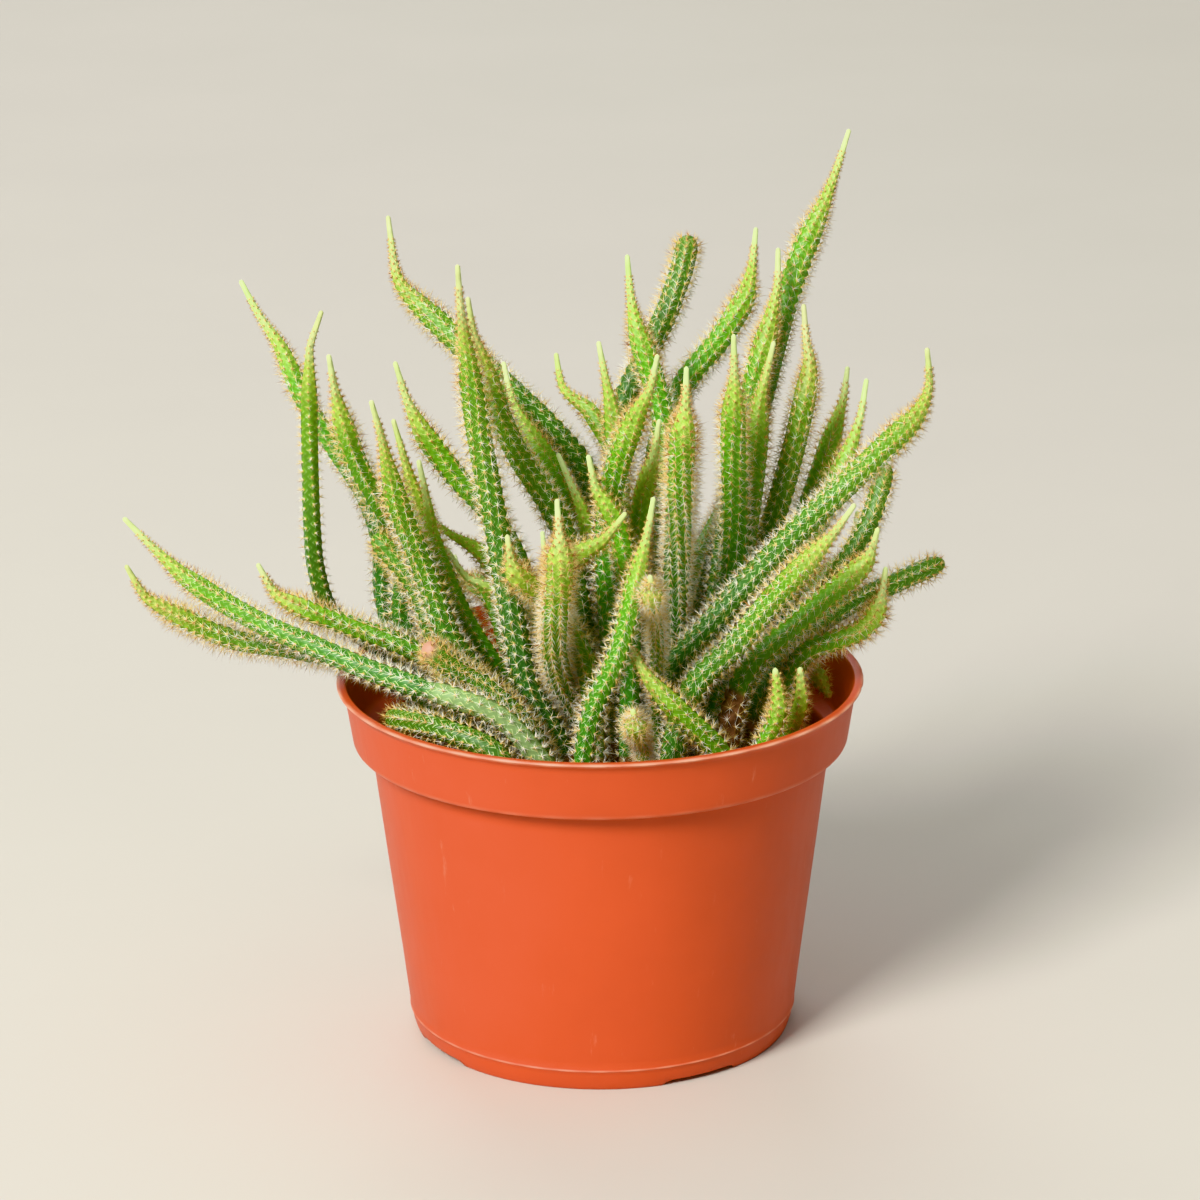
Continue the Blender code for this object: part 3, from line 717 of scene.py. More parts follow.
def set_values(mesh: bpy.types.Mesh, name: str, values: Array) -> None:
    """Store one number for every point of a mesh."""
    attribute = mesh.attributes.new(name, "FLOAT", "POINT")
    attribute.data.foreach_set("value", np.asarray(values, np.float32).ravel())


def close_mesh(mesh: bpy.types.Mesh, weld: bool = False, turn_out: bool = True) -> None:
    """Fill the open ends of a mesh.

    Args:
        mesh: The mesh, which is changed.
        weld: Whether points in one place are joined first.
        turn_out: Whether all faces are then turned outwards.
    """
    work = bmesh.new()
    work.from_mesh(mesh)
    if weld:
        bmesh.ops.remove_doubles(work, verts=work.verts, dist=SAME_PLACE)
    bmesh.ops.holes_fill(work, edges=[edge for edge in work.edges if edge.is_boundary])
    if turn_out:
        bmesh.ops.recalc_face_normals(work, faces=work.faces)
    work.to_mesh(mesh)
    work.free()


def held(share: Array) -> Array:
    """Share held between 0 and 1."""
    return np.clip(share, 0.0, 1.0)


def eased(share: Array) -> Array:
    """Share held between 0 and 1, slow at both ends."""
    kept = held(share)
    return kept * kept * (3 - 2 * kept)


@dataclass
class StemLine:
    """Centreline of one stem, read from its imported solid, from the tip to the foot."""

    centres: Array
    radii: Array

    @classmethod
    def of_node(cls, node: bpy.types.Object) -> StemLine:
        """Read the rings of a stem's solid, layer by layer from its foot.

        Args:
            node: The stem's solid.

        Returns:
            Its centreline.
        """
        corners = np.empty(len(node.data.vertices) * 3, np.float32)
        node.data.vertices.foreach_get("co", corners)
        corners = corners.reshape(-1, 3).astype(float)
        keys = np.round(corners / (0.002 * MM)).astype(np.int64)
        _, first, welded = np.unique(keys, axis=0, return_index=True, return_inverse=True)
        points = corners[first]
        edges = np.array([edge.vertices[:] for edge in node.data.edges])
        edges = welded.reshape(-1)[edges]
        layer = np.full(len(points), -1)
        layer[points[:, 2] < points[:, 2].min() + 0.05 * MM] = 0
        depth = 0
        while (layer < 0).any():
            here = layer == depth
            met = np.unique(edges[here[edges].any(axis=1)])
            fresh = met[layer[met] < 0]
            if not len(fresh):
                break
            depth += 1
            layer[fresh] = depth
        rings = [points[layer == index] for index in range(depth, -1, -1)]
        centres = np.array([ring.mean(axis=0) for ring in rings])
        radii = np.array([np.linalg.norm(ring - centre, axis=1).mean()
                          for ring, centre in zip(rings, centres)])
        return cls(centres, radii)

    def smooth(self, step: float) -> tuple[Array, Array]:
        """Centreline as a smooth curve in equal steps.

        Args:
            step: Distance between points.

        Returns:
            The points, and the distance of each from the tip.
        """
        ends = np.vstack((2 * self.centres[0] - self.centres[1], self.centres,
                          2 * self.centres[-1] - self.centres[-2]))
        dense = []
        for start in range(len(self.centres) - 1):
            a, b, c, d = ends[start:start + 4]
            t = np.linspace(0.0, 1.0, 16, endpoint=False)[:, None]
            lengths = [np.linalg.norm(q - p) for p, q in ((a, b), (b, c), (c, d))]
            lean_b = (c - a) / (lengths[0] + lengths[1]) * lengths[1]
            lean_c = (d - b) / (lengths[1] + lengths[2]) * lengths[1]
            dense.append((2 * t ** 3 - 3 * t ** 2 + 1) * b + (t ** 3 - 2 * t ** 2 + t) * lean_b
                         + (3 * t ** 2 - 2 * t ** 3) * c + (t ** 3 - t ** 2) * lean_c)
        line = np.vstack((*dense, self.centres[-1:]))
        along = np.concatenate(([0.0], np.cumsum(np.linalg.norm(np.diff(line, axis=0), axis=1))))
        wanted = np.arange(0.0, along[-1], step)
        return np.stack([np.interp(wanted, along, line[:, axis]) for axis in range(3)], 1), wanted


def carried_frames(line: Array) -> tuple[Array, Array, Array]:
    """Directions along a curve that turn as little as they can.

    Args:
        line: Points of the curve.

    Returns:
        Tangents, and two directions across each tangent.
    """
    tangents = np.gradient(line, axis=0)
    tangents /= np.linalg.norm(tangents, axis=1)[:, None]
    side = np.cross(tangents[-1], (0.0, 1.0, 0.0))
    side /= np.linalg.norm(side)
    sides = np.empty_like(line)
    for index in range(len(line) - 1, -1, -1):
        side = side - tangents[index] * (side @ tangents[index])
        side /= np.linalg.norm(side)
        sides[index] = side
    return tangents, sides, np.cross(tangents, sides)


@dataclass
class Stem:
    """One stem: a knobbly skin with a tubercle under every areole, and its wool and spines."""

    name: str
    line: StemLine
    coat: Coat
    seed: int
    tail_mm: float
    flare_mm: float
    tone: float
    # Strength of the painted highlight along the tubercle edges.
    wax: float
    corky_base_mm: float
    callus_mm: float
    joint_mm: float
    grown_spacing_mm: float = 3.3
    growth_mm: float = 60.0
    ageing_mm: float = 150.0
    blunt_ageing_mm: float = 120.0
    flesh_share: float = 0.9
    tail_radius_mm: tuple[float, float] = (0.68, 1.15)
    blunt_from_mm: float = 1.4
    cap_mm: float = 5.5
    round_tip_mm: float = 0.7
    neck_mm: float = 30.0
    neck_share: float = 0.84
    club_mm: tuple[float, float] = (7.0, 8.0)
    pinch: tuple[float, float] = (0.26, 2.4)
    most_twist: float = 2.6
    tail_spread: tuple[float, float] = (0.88, 1.12)
    tubercle_mm: float = 0.38
    tubercle_girth_mm: float = 3.4
    furrow_mm: float = 0.06
    needle_mm: float = 0.095
    wool_mm: float = 0.24
    knobbly_mm: float = 60.0
    young_mm: float = 30.0
    blunt_young_mm: float = 12.0
    golden_mm: float = 80.0
    buried_mm: float = 12.0
    fine_step: float = 0.25 * MM

    def __post_init__(self) -> None:
        """Work out the rings, the ribs and where every areole sits."""
        self.rng = np.random.default_rng(self.seed)
        self.plan = COATS[self.coat]
        self.girth = self.line.radii.max() * self.flesh_share
        blunt = self.line.radii[0] > self.blunt_from_mm * MM
        self.tip = TipKind.BLUNT if blunt else TipKind.WHIP
        self.path, self.along = self.line.smooth(self.fine_step)
        self.whole = self.along[-1]
        self.tangents, self.sides, self.ups = carried_frames(self.path)
        self.ribs = 2 * round(math.pi * self.girth / (self.plan.rib_gap_mm * MM))
        self.twist = self.rng.uniform(-self.most_twist, self.most_twist)
        self.tail = self.tail_mm * MM * self.rng.uniform(*self.tail_spread)
        if self.tip is TipKind.BLUNT:
            self.tail = 0.0
        growth = held((self.along - self.tail) / (self.growth_mm * MM))
        spacing = (self.plan.young_spacing_mm
                   + (self.grown_spacing_mm - self.plan.young_spacing_mm) * growth)
        self.rows = np.concatenate(([0.0], np.cumsum(self.fine_step / (spacing[:-1] * MM))))

    def radius_at(self, distance: Array) -> Array:
        """Radius of the body, without tubercles.

        Args:
            distance: Distances from the tip.

        Returns:
            The radii.
        """
        if self.tip is TipKind.BLUNT:
            body = self.girth * np.sqrt(1 - (1 - held(distance / (self.cap_mm * MM))) ** 2.2)
        else:
            tip, base = self.tail_radius_mm
            tail = (tip + (base - tip) * held(distance / self.tail)) * MM
            flare = eased((distance - 0.8 * self.tail) / (self.flare_mm * MM))
            body = tail + (self.girth - tail) * flare
            body *= np.sqrt(held(distance / (self.round_tip_mm * MM)))
        if self.coat is Coat.FUR:
            start, length = self.club_mm
            body *= 0.92 - 0.34 * eased((distance / MM - start) / length)
        if self.joint_mm:
            depth, width_mm = self.pinch
            body *= 1 - depth * np.exp(-((distance / MM - self.joint_mm) / width_mm) ** 2)
        above_neck = held((self.whole - distance) / (self.neck_mm * MM))
        return body * (self.neck_share + (1 - self.neck_share) * above_neck)

    def age_at(self, distance: Array) -> Array:
        """Age of the skin, 0 at the tip and 1 at the foot.

        Args:
            distance: Distances from the tip.

        Returns:
            The ages.
        """
        if self.tip is TipKind.BLUNT:
            return 0.42 + 0.58 * held(distance / (self.blunt_ageing_mm * MM))
        tail = 0.06 * held(distance / self.tail)
        return tail + 0.94 * held((distance - self.tail) / (self.ageing_mm * MM)) ** 0.8

    def spiny_at(self, distance: Array) -> Array:
        """How far the areoles are grown, 0 on the bare tail and 1 below it.

        Args:
            distance: Distances from the tip.

        Returns:
            The shares.
        """
        if self.tip is TipKind.BLUNT:
            return held(distance / (1.2 * MM))
        return held((distance - 0.4 * self.tail) / (0.5 * self.tail))

    def index_at(self, distance: Array) -> Array:
        """Number of the path's point at distances from the tip."""
        return np.clip((distance / self.fine_step).astype(int), 0, len(self.path) - 1)

    def surface(self, distance: Array, rib: Array, row: Array) -> tuple[Array, Array]:
        """Points of the knobbly skin.

        Args:
            distance: Distances from the tip.
            rib: Rib coordinates, whole on a crest.
            row: Areole coordinates along the ribs.

        Returns:
            The points, and the outward directions there.
        """
        index = self.index_at(distance)
        angle = 2 * math.pi * rib / self.ribs + self.twist * distance / 0.15
        out = (self.sides[index] * np.cos(angle)[..., None]
               + self.ups[index] * np.sin(angle)[..., None])
        radius = self.radius_at(distance)
        share = held(radius / (self.tubercle_girth_mm * MM)) ** 1.3 * self.spiny_at(distance)
        crest = 0.5 + 0.5 * np.cos(2 * math.pi * rib)
        ahead = 0.5 * (np.round(rib) % 2)
        swell = (0.5 + 0.5 * np.cos(2 * math.pi * (row + ahead))) ** 1.3
        relief = crest * swell * self.tubercle_mm - (1 - crest) * self.furrow_mm
        return self.path[index] + out * (radius + relief * MM * share)[..., None], out

    def build_skin(self, material: bpy.types.Material) -> bpy.types.Object:
        """Skin as a grid whose rows and columns fall on crests, furrows and areoles.

        Args:
            material: The skin material.

        Returns:
            The skin piece, which replaces the stem's solid.
        """
        knobbly = np.interp(self.knobbly_mm * MM, self.along, self.rows)
        marks = np.arange(0.0, self.rows[-1], 0.25)
        marks = marks[(marks < knobbly) | (marks % 0.5 == 0)]
        distance = np.interp(marks, self.rows, self.along)
        if self.tip is TipKind.WHIP:
            every_fourth = np.arange(len(distance)) % 4 == 0
            distance = distance[(distance >= 0.5 * self.tail) | every_fourth]
        start = np.array((0.012, 0.12, 0.35, 0.7)) * MM
        distance = np.concatenate((start, distance[distance > 1.0 * MM], (self.whole - 0.02 * MM,)))
        marks = np.interp(distance, self.along, self.rows)
        columns = np.arange(self.ribs * 2) / 2
        rib, row = np.meshgrid(columns, marks)
        places, _ = self.surface(np.repeat(distance[:, None], len(columns), 1), rib, row)
        mesh = grid_mesh(self.name + "_skin", places)
        self.map_ribs(mesh, marks, len(columns))
        from_tip = distance / MM
        from_foot = (self.whole - distance) / MM
        every = np.ones(len(distance))
        for title, values in (
                ("age", self.age_at(distance)), ("spiny", self.spiny_at(distance)),
                ("cork", held((self.corky_base_mm - from_foot) / 6.0 + 0.5)),
                ("callus", held(1.6 - from_tip / max(self.callus_mm, 0.01))),
                ("frost", held((from_tip - self.joint_mm) / 3.0) * bool(self.joint_mm)),
                ("tone", every * self.tone), ("wax", every * self.wax)):
            set_values(mesh, title, np.repeat(values, len(columns)))
        close_mesh(mesh, turn_out=False)
        mesh.materials.append(material)
        return add_piece(self.name + "_skin", mesh, self.name + "_skin", self.name)

    def map_ribs(self, mesh: bpy.types.Mesh, marks: Array, columns: int) -> None:
        """Lay the rib map over the skin: u counts ribs and v counts areoles.

        Args:
            mesh: The skin's mesh, a grid.
            marks: Areole coordinate of every row.
            columns: How many columns it has.
        """
        rows = len(marks) - 1
        row, column = np.meshgrid(np.arange(rows), np.arange(columns), indexing="ij")
        u = np.stack((column, column + 1, column + 1, column), -1) / 2
        v = np.stack((marks[row], marks[row], marks[row + 1], marks[row + 1]), -1)
        layer = mesh.uv_layers.new(name="ribs")
        layer.data.foreach_set("uv", np.stack((u, v), -1).astype(np.float32).ravel())

    def areoles(self) -> tuple[Array, Array, Array]:
        """Find every areole above the potting mix.

        Returns:
            Their distances from the tip, ribs and areole coordinates.
        """
        first = 0.45 * self.tail if self.tip is TipKind.WHIP else 0.9 * MM
        low = np.interp(first, self.along, self.rows)
        high = np.interp(self.whole - self.buried_mm * MM, self.along, self.rows)
        found = []
        for rib in range(self.ribs):
            ahead = 0.5 * (rib % 2)
            rows = np.arange(math.ceil(low + ahead), math.floor(high + ahead) + 1) - ahead
            found.append(np.stack((np.full(len(rows), rib, float), rows), 1))
        ribs, rows = np.concatenate(found).T
        return np.interp(rows, self.rows, self.along), ribs, rows

    def build_spines(self, materials: list[bpy.types.Material]) -> bpy.types.Object:
        """Tuft of wool and a star of spines on every areole.

        Args:
            materials: Materials in the order of Tint.

        Returns:
            The tufts and spines of the stem as one piece.
        """
        distance, rib, row = self.areoles()
        roots, outs = self.surface(distance, rib, row)
        to_tip = -self.tangents[self.index_at(distance)]
        across = np.cross(outs, to_tip)
        below_tail = (distance - self.tail) / MM
        young_mm = self.blunt_young_mm if self.tip is TipKind.BLUNT else self.young_mm
        youth = 1 - held(below_tail / young_mm)
        gold = 1 - held(below_tail / self.golden_mm)
        least = self.plan.young_length
        growth = least + (1 - least) * held((self.radius_at(distance) / MM - 0.9) / 2.2)
        girth = self.needle_mm * MM * (1.2 - 0.2 * youth)
        needles, tints = [], []
        for k in range(self.plan.spines):
            central = k % 4 == 3
            jitter = self.rng.uniform(-0.35, 0.35, len(roots))
            turn = 2 * math.pi * (k + jitter) / self.plan.spines
            tilt = self.rng.uniform(*((0.05, 0.5) if central else (0.55, 1.15)), len(roots))
            flat = np.cos(turn)[:, None] * to_tip + np.sin(turn)[:, None] * across
            way = np.cos(tilt)[:, None] * outs + np.sin(tilt)[:, None] * flat
            way += to_tip * (0.1 + self.plan.lean_to_tip * youth)[:, None]
            way /= np.linalg.norm(way, axis=1)[:, None]
            length = self.spine_length(central, len(roots)) * growth
            needles.append(self.needles(roots, way, length, girth))
            tints.append(self.tint_of(youth, gold, central))
        points = np.concatenate(needles)
        corners = np.arange(len(points) // 4)[:, None] * 4
        faces = [corners + np.array(side) for side in ((0, 1, 3), (1, 2, 3), (2, 0, 3))]
        tufts = self.tufts(roots, outs, to_tip, across, growth)
        base = len(points) + np.arange(len(roots))[:, None] * 5
        faces += [base + np.array((side, (side + 1) % 4, 4)) for side in range(4)]
        brown_from = self.rng.uniform(0.2, 0.7, len(youth))
        brown = (youth > brown_from) & self.plan.brown_wool
        wool = np.where(brown, Tint.YOUNG_WOOL.value, Tint.OLD_WOOL.value)
        slots = np.concatenate((np.tile(np.concatenate(tints), 3), np.tile(wool, 4)))
        mesh = mesh_from(self.name + "_spines", np.concatenate((points, tufts)),
                         np.concatenate(faces))
        for material in materials:
            mesh.materials.append(material)
        mesh.polygons.foreach_set("material_index", slots.astype(np.int32))
        return add_piece(self.name + "_spines", mesh, self.name + "_skin")

    def tufts(self, roots: Array, outs: Array, to_tip: Array, across: Array,
              growth: Array) -> Array:
        """Corners of the low tufts of wool.

        Args:
            roots: Where the areoles are.
            outs: Outward directions there.
            to_tip: Directions towards the tip.
            across: Directions across.
            growth: How far each areole is grown.

        Returns:
            Five points a tuft: four round its base and one on top.
        """
        radius = self.wool_mm * MM * (0.45 + 0.55 * growth)
        corners = []
        for angle in np.arange(4) * math.pi / 2:
            aside = math.cos(angle) * to_tip + math.sin(angle) * across
            corners.append(roots + aside * radius[:, None] - outs * 0.06 * MM)
        corners.append(roots + outs * 0.8 * radius[:, None])
        return np.stack(corners, 1).reshape(-1, 3)

    def spine_length(self, central: bool, count: int) -> Array:
        """Lengths of one spine on every areole, by the stem's coat."""
        lengths = self.rng.uniform(*self.plan.lengths_mm, count) * MM
        return lengths * (1.1 if central else 1.0)

    def tint_of(self, youth: Array, gold: Array, central: bool) -> Array:
        """Material index of one spine on every areole.

        Args:
            youth: How young each areole is, 0 to 1: the young ones have brown spines.
            gold: How far up the stem it stands, 0 to 1: the high ones have golden spines.
            central: Whether the spine stands out from the middle of its areole.

        Returns:
            The indices, in the order of Tint.
        """
        chance = self.rng.uniform(0.0, 1.0, len(youth))
        brown = (0.07 + youth * 0.36 + (0.08 if central else 0.0)) * self.plan.brownness
        tint = np.where(chance < brown * 0.35, Tint.RUST.value, Tint.TAN.value)
        tint = np.where(chance > brown, Tint.STRAW.value, tint)
        return np.where(chance > brown + 0.25 + 0.4 * gold, Tint.CREAM.value, tint)

    def needles(self, roots: Array, way: Array, length: Array, girth: Array) -> Array:
        """Corners of straight needles.

        Args:
            roots: Where the needles start.
            way: Their directions.
            length: Their lengths.
            girth: Their radii at the root.

        Returns:
            Four points a needle: three round its root and one at its point.
        """
        helper = np.where(np.abs(way[:, 2:3]) < 0.9, (0.0, 0.0, 1.0), (1.0, 0.0, 0.0))
        first = np.cross(way, helper)
        first /= np.linalg.norm(first, axis=1)[:, None]
        second = np.cross(way, first)
        base = roots - way * 0.1 * MM
        corners = []
        for angle in np.arange(3) * 2 * math.pi / 3:
            aside = math.cos(angle) * first + math.sin(angle) * second
            corners.append(base + girth[:, None] * aside)
        corners.append(base + way * length[:, None])
        return np.stack(corners, 1).reshape(-1, 3)


@dataclass
class StemClump:
    """All stems of the plant."""

    frame: dict[str, dict]
    shaggy: tuple[int, ...] = (27, 32, 33, 36, 37, 41, 42, 47, 49)
    buds: tuple[int, ...] = (39, 43)
    sparse: tuple[int, ...] = (2,)
    dark: tuple[int, ...] = (2, 11, 16, 22, 36, 46, 48, 50, 51)
    # Stems with the strongest painted highlight along their tubercle edges.
    waxy: tuple[int, ...] = (8, 25, 35, 38, 40, 44, 50)
    corky_base_mm: dict[int, float] = field(
        default_factory=lambda: {45: 40.0, 46: 26.0, 20: 24.0})
    callus_mm: dict[int, float] = field(default_factory=lambda: {49: 2.5})
    joint_mm: dict[int, float] = field(default_factory=lambda: {35: 105.0})
    tails_mm: dict[int, tuple[float, float]] = field(default_factory=lambda: {
        1: (15, 22), 4: (15, 25), 8: (15, 26), 10: (17, 30), 19: (16, 24), 25: (14, 20),
        26: (13, 16), 27: (12, 13), 28: (11, 11), 29: (11, 12), 31: (8, 14), 32: (11, 9),
        33: (7, 9), 35: (14, 22), 36: (11, 17), 37: (9, 14), 39: (3.5, 4.5), 40: (3.5, 20),
        41: (2.5, 13), 42: (2.5, 13), 43: (2.5, 4.5), 45: (9, 10), 47: (9, 9), 51: (1.5, 7)})

    def coat_of(self, number: int) -> Coat:
        """Coat that a stem has.

        Args:
            number: The stem's number.

        Returns:
            Its coat.
        """
        if number in self.buds:
            return Coat.FUR
        if number in self.shaggy:
            return Coat.SHAGGY
        return Coat.SPARSE if number in self.sparse else Coat.PLAIN

    def build(self) -> None:
        """Build every stem's skin and spines and report them."""
        rng = np.random.default_rng(5)
        skin = SkinFinish().material()
        spines = SpineFinish().materials()
        total = 0
        for name in sorted(node for node in self.frame["nodes"] if node.startswith("stem_")):
            number = int(name.split("_")[1])
            tail_mm, flare_mm = self.tails_mm.get(number, (14, 18))
            tone = rng.uniform(0.0, 0.12) if number in self.dark else rng.uniform(0.3, 1.0)
            stem = Stem(name, StemLine.of_node(self.frame["nodes"][name]), self.coat_of(number),
                        seed=100 + number, tail_mm=tail_mm, flare_mm=flare_mm, tone=tone,
                        wax=1.0 if number in self.waxy else 0.55,
                        corky_base_mm=self.corky_base_mm.get(number, 20.0),
                        callus_mm=self.callus_mm.get(number, 0.0),
                        joint_mm=self.joint_mm.get(number, 0.0))
            skin_piece = stem.build_skin(skin)
            spine_piece = stem.build_spines(spines)
            count = 2 * len(skin_piece.data.polygons) + len(spine_piece.data.polygons)
            total += count
            LOG.info("%s: %.0f mm, %d ribs, %s, about %d triangles", name, stem.whole / MM,
                     stem.ribs, stem.tip.name, count)
        LOG.info("stems: about %d triangles", total)


@dataclass
class Pot:
    """Round nursery pot: flat lip, deep collar, tapered body, foot ring with drain notches."""

    lip_radius_mm: float = 78.0
    height_mm: float = 108.6
    steps: int = 240
    notch_bearings: tuple[float, ...] = (31.0, 121.0, 211.0, 301.0)
    notch_mm: float = 1.6
    notch_bottom_span: float = 26.0
    notch_top_span: float = 21.0
    hole_radius_mm: float = 4.5
    hole_ring_mm: float = 44.0
    nicks: int = 16
    nick_radius_mm: float = 77.3
    seam_angle: float = math.radians(287.0)
    seam_mm: float = 0.16
    collar_mm: tuple[float, float] = (91.0, 107.0)
    collar_radius_mm: float = 73.0

    def profile(self) -> list[tuple[float, float, float]]:
        """Section down the outside and up the inside.

        Returns:
            Points of radius and height in millimetres, and how pale their edge is, 0 to 1: partly
            rubbing, partly painted highlight.
        """
        lip = self.lip_radius_mm
        top = self.height_mm
        outside = [
            (75.9, top), (76.8, top + 0.02), (77.6, top, 0.5), (77.86, top - 0.08, 0.9),
            (lip, top - 0.22, 1.0), (lip + 0.02, top - 0.42, 1.0), (77.82, top - 0.6, 0.75),
            (77.5, top - 0.9, 0.5), (77.05, top - 1.4), (76.4, top - 1.9), (75.98, top - 2.5),
            (75.72, 105.0), (75.1, 101.5), (74.5, 97.6), (73.95, 94.0), (73.62, 91.9),
            (73.52, 91.3, 0.1), (73.3, 90.75, 0.2), (72.95, 90.35, 0.1), (72.4, 90.12),
            (71.6, 90.02), (69.9, 89.85), (69.0, 89.72), (68.5, 89.5), (68.25, 89.15),
            (68.13, 88.5), (67.8, 86.0), (66.4, 74.8), (64.4, 58.6), (62.2, 41.0), (60.0, 23.5),
            (58.35, 9.6), (58.04, 7.0), (58.14, 6.75, 0.35), (58.22, 6.5, 0.5),
            (58.04, 6.25, 0.3), (57.84, 6.0), (57.6, 4.6), (57.2, 2.8), (56.7, 1.2),
            (56.3, 0.3), (56.0, 0.0)]
        inside = [
            (54.5, 0.0), (53.1, 0.0), (52.85, 0.3), (52.6, 1.8), (40.0, 1.8), (20.0, 1.8),
            (0.6, 1.8), (0.6, 3.4), (20.0, 3.4), (40.0, 3.4), (54.6, 3.4), (55.8, 4.2),
            (56.6, 6.5), (57.3, 12.0), (61.3, 45.0), (66.4, 84.0), (66.9, 89.0), (67.05, 90.2),
            (67.4, 90.85), (68.1, 91.15), (70.6, 91.4), (71.5, 91.7), (72.1, 92.2),
            (72.4, 93.2), (72.9, 96.5), (74.2, 104.2), (74.7, 106.4), (75.0, 107.6),
            (75.25, 108.3), (75.5, 108.55, 0.1)]
        return [(*point, 0.0)[:3] for point in outside + inside]

    def build(self, finish: PotFinish) -> bpy.types.Object:
        """Build the pot.

        Args:
            finish: The plastic it is moulded in.

        Returns:
            The pot piece.
        """
        section = np.array(self.profile())
        angle = np.arange(self.steps) * 2 * math.pi / self.steps
        radius, height = (np.repeat(section[:, axis, None], self.steps, 1) for axis in (0, 1))
        # Pale edge line, partly rubbing and partly painted highlight, wavering round the pot.
        edge = section[:, 2, None] * (0.7 + 0.3 * np.sin(angle * 37.0 + 2.0))
        self.nick_lip(radius, height, edge, angle)
        self.raise_seam(radius, height, angle)
        height = np.where(height < self.notch_mm, np.maximum(height, self.notch_lift(angle)),
                          height)
        bearing = angle - math.pi / 2
        points = np.stack((radius * np.cos(bearing), radius * np.sin(bearing), height), -1) * MM
        points = np.concatenate((points, points[:1]))
        mesh = grid_mesh("pot_shell", points)
        set_values(mesh, "edge", np.concatenate((edge, edge[:1])).ravel())
        close_mesh(mesh, weld=True)
        mesh.shade_smooth()
        mesh.materials.append(finish.material())
        pot = add_piece("pot_shell", mesh, "terracotta_plastic", "pot")
        self.drill(pot)
        LOG.info("pot: %d rows by %d steps", len(section), self.steps)
        return pot

    def nick_lip(self, radius: Array, height: Array, edge: Array, angle: Array) -> None:
        """Wear tiny nicks and a wavering flash line into the outer edge of the lip.

        Args:
            radius: Radii of the pot's points, changed in place.
            height: Their heights.
            edge: How pale their edge is, from rubbing and painted highlight, changed in place.
            angle: Bearing of every column.
        """
        wave = 0.05 * np.sin(angle * 3 + 0.7) + 0.04 * np.sin(angle * 11 + 2.1)
        rng = np.random.default_rng(7)
        nicks = np.zeros_like(angle)
        for _ in range(self.nicks):
            centre = rng.uniform(0, 2 * math.pi)
            width = rng.uniform(0.006, 0.02)
            nicks += rng.uniform(0.08, 0.28) * np.exp(-((angle - centre) / width) ** 2)
        near = np.exp(-((height - self.height_mm + 0.3) / 0.45) ** 2)
        near = near * (radius > self.nick_radius_mm)
        radius -= near * nicks[None] * 0.8
        radius += near * wave[None]
        edge *= 1 - 0.6 * held(nicks)[None]

    def raise_seam(self, radius: Array, height: Array, angle: Array) -> None:
        """Raise the fine mould seam that runs up the collar at the left.

        Args:
            radius: Radii of the pot's points, changed in place.
            height: Their heights.
            angle: Bearing of every column.
        """
        away = np.abs((angle - self.seam_angle + math.pi) % (2 * math.pi) - math.pi)
        low, high = self.collar_mm
        on_collar = (height > low) & (height < high) & (radius > self.collar_radius_mm)
        radius += on_collar * (self.seam_mm * np.exp(-(away / 0.008) ** 2))[None]

    def notch_lift(self, angle: Array) -> Array:
        """Depth of the drain notches, with sloped ends.

        Args:
            angle: Bearing of every column.

        Returns:
            The depth of the notches in every column, as one row.
        """
        lift = np.zeros_like(angle)
        slope = (self.notch_bottom_span - self.notch_top_span) / 2
        for bearing in self.notch_bearings:
            away = np.abs((np.degrees(angle) - bearing + 180) % 360 - 180)
            share = held((self.notch_bottom_span / 2 - away) / slope)
            lift = np.maximum(lift, share * self.notch_mm)
        return lift[None]

    def drill(self, pot: bpy.types.Object) -> None:
        """Cut the drain holes through the floor.

        Args:
            pot: The pot piece, whose mesh is changed.
        """
        tool = bmesh.new()
        for bearing in self.notch_bearings:
            angle = math.radians(bearing - 90.0)
            made = bmesh.ops.create_cone(tool, cap_ends=True, segments=48, depth=6 * MM,
                                         radius1=self.hole_radius_mm * MM,
                                         radius2=self.hole_radius_mm * MM)["verts"]
            spot = Vector((math.cos(angle), math.sin(angle), 0.0)) * self.hole_ring_mm * MM
            bmesh.ops.translate(tool, vec=spot + Vector((0, 0, 4 * MM)), verts=made)
        mesh = bpy.data.meshes.new("drain_holes")
        tool.to_mesh(mesh)
        tool.free()
        cutter = put_in_scene("drain_holes", mesh)
        boolean = pot.modifiers.new("drain_holes", "BOOLEAN")
        boolean.object = cutter
        boolean.solver = "EXACT"
        graph = bpy.context.evaluated_depsgraph_get()
        cut = bpy.data.meshes.new_from_object(pot.evaluated_get(graph))
        pot.modifiers.clear()
        pot.data = cut
        cut.set_sharp_from_angle(angle=math.radians(50.0))
        bpy.data.objects.remove(cutter)


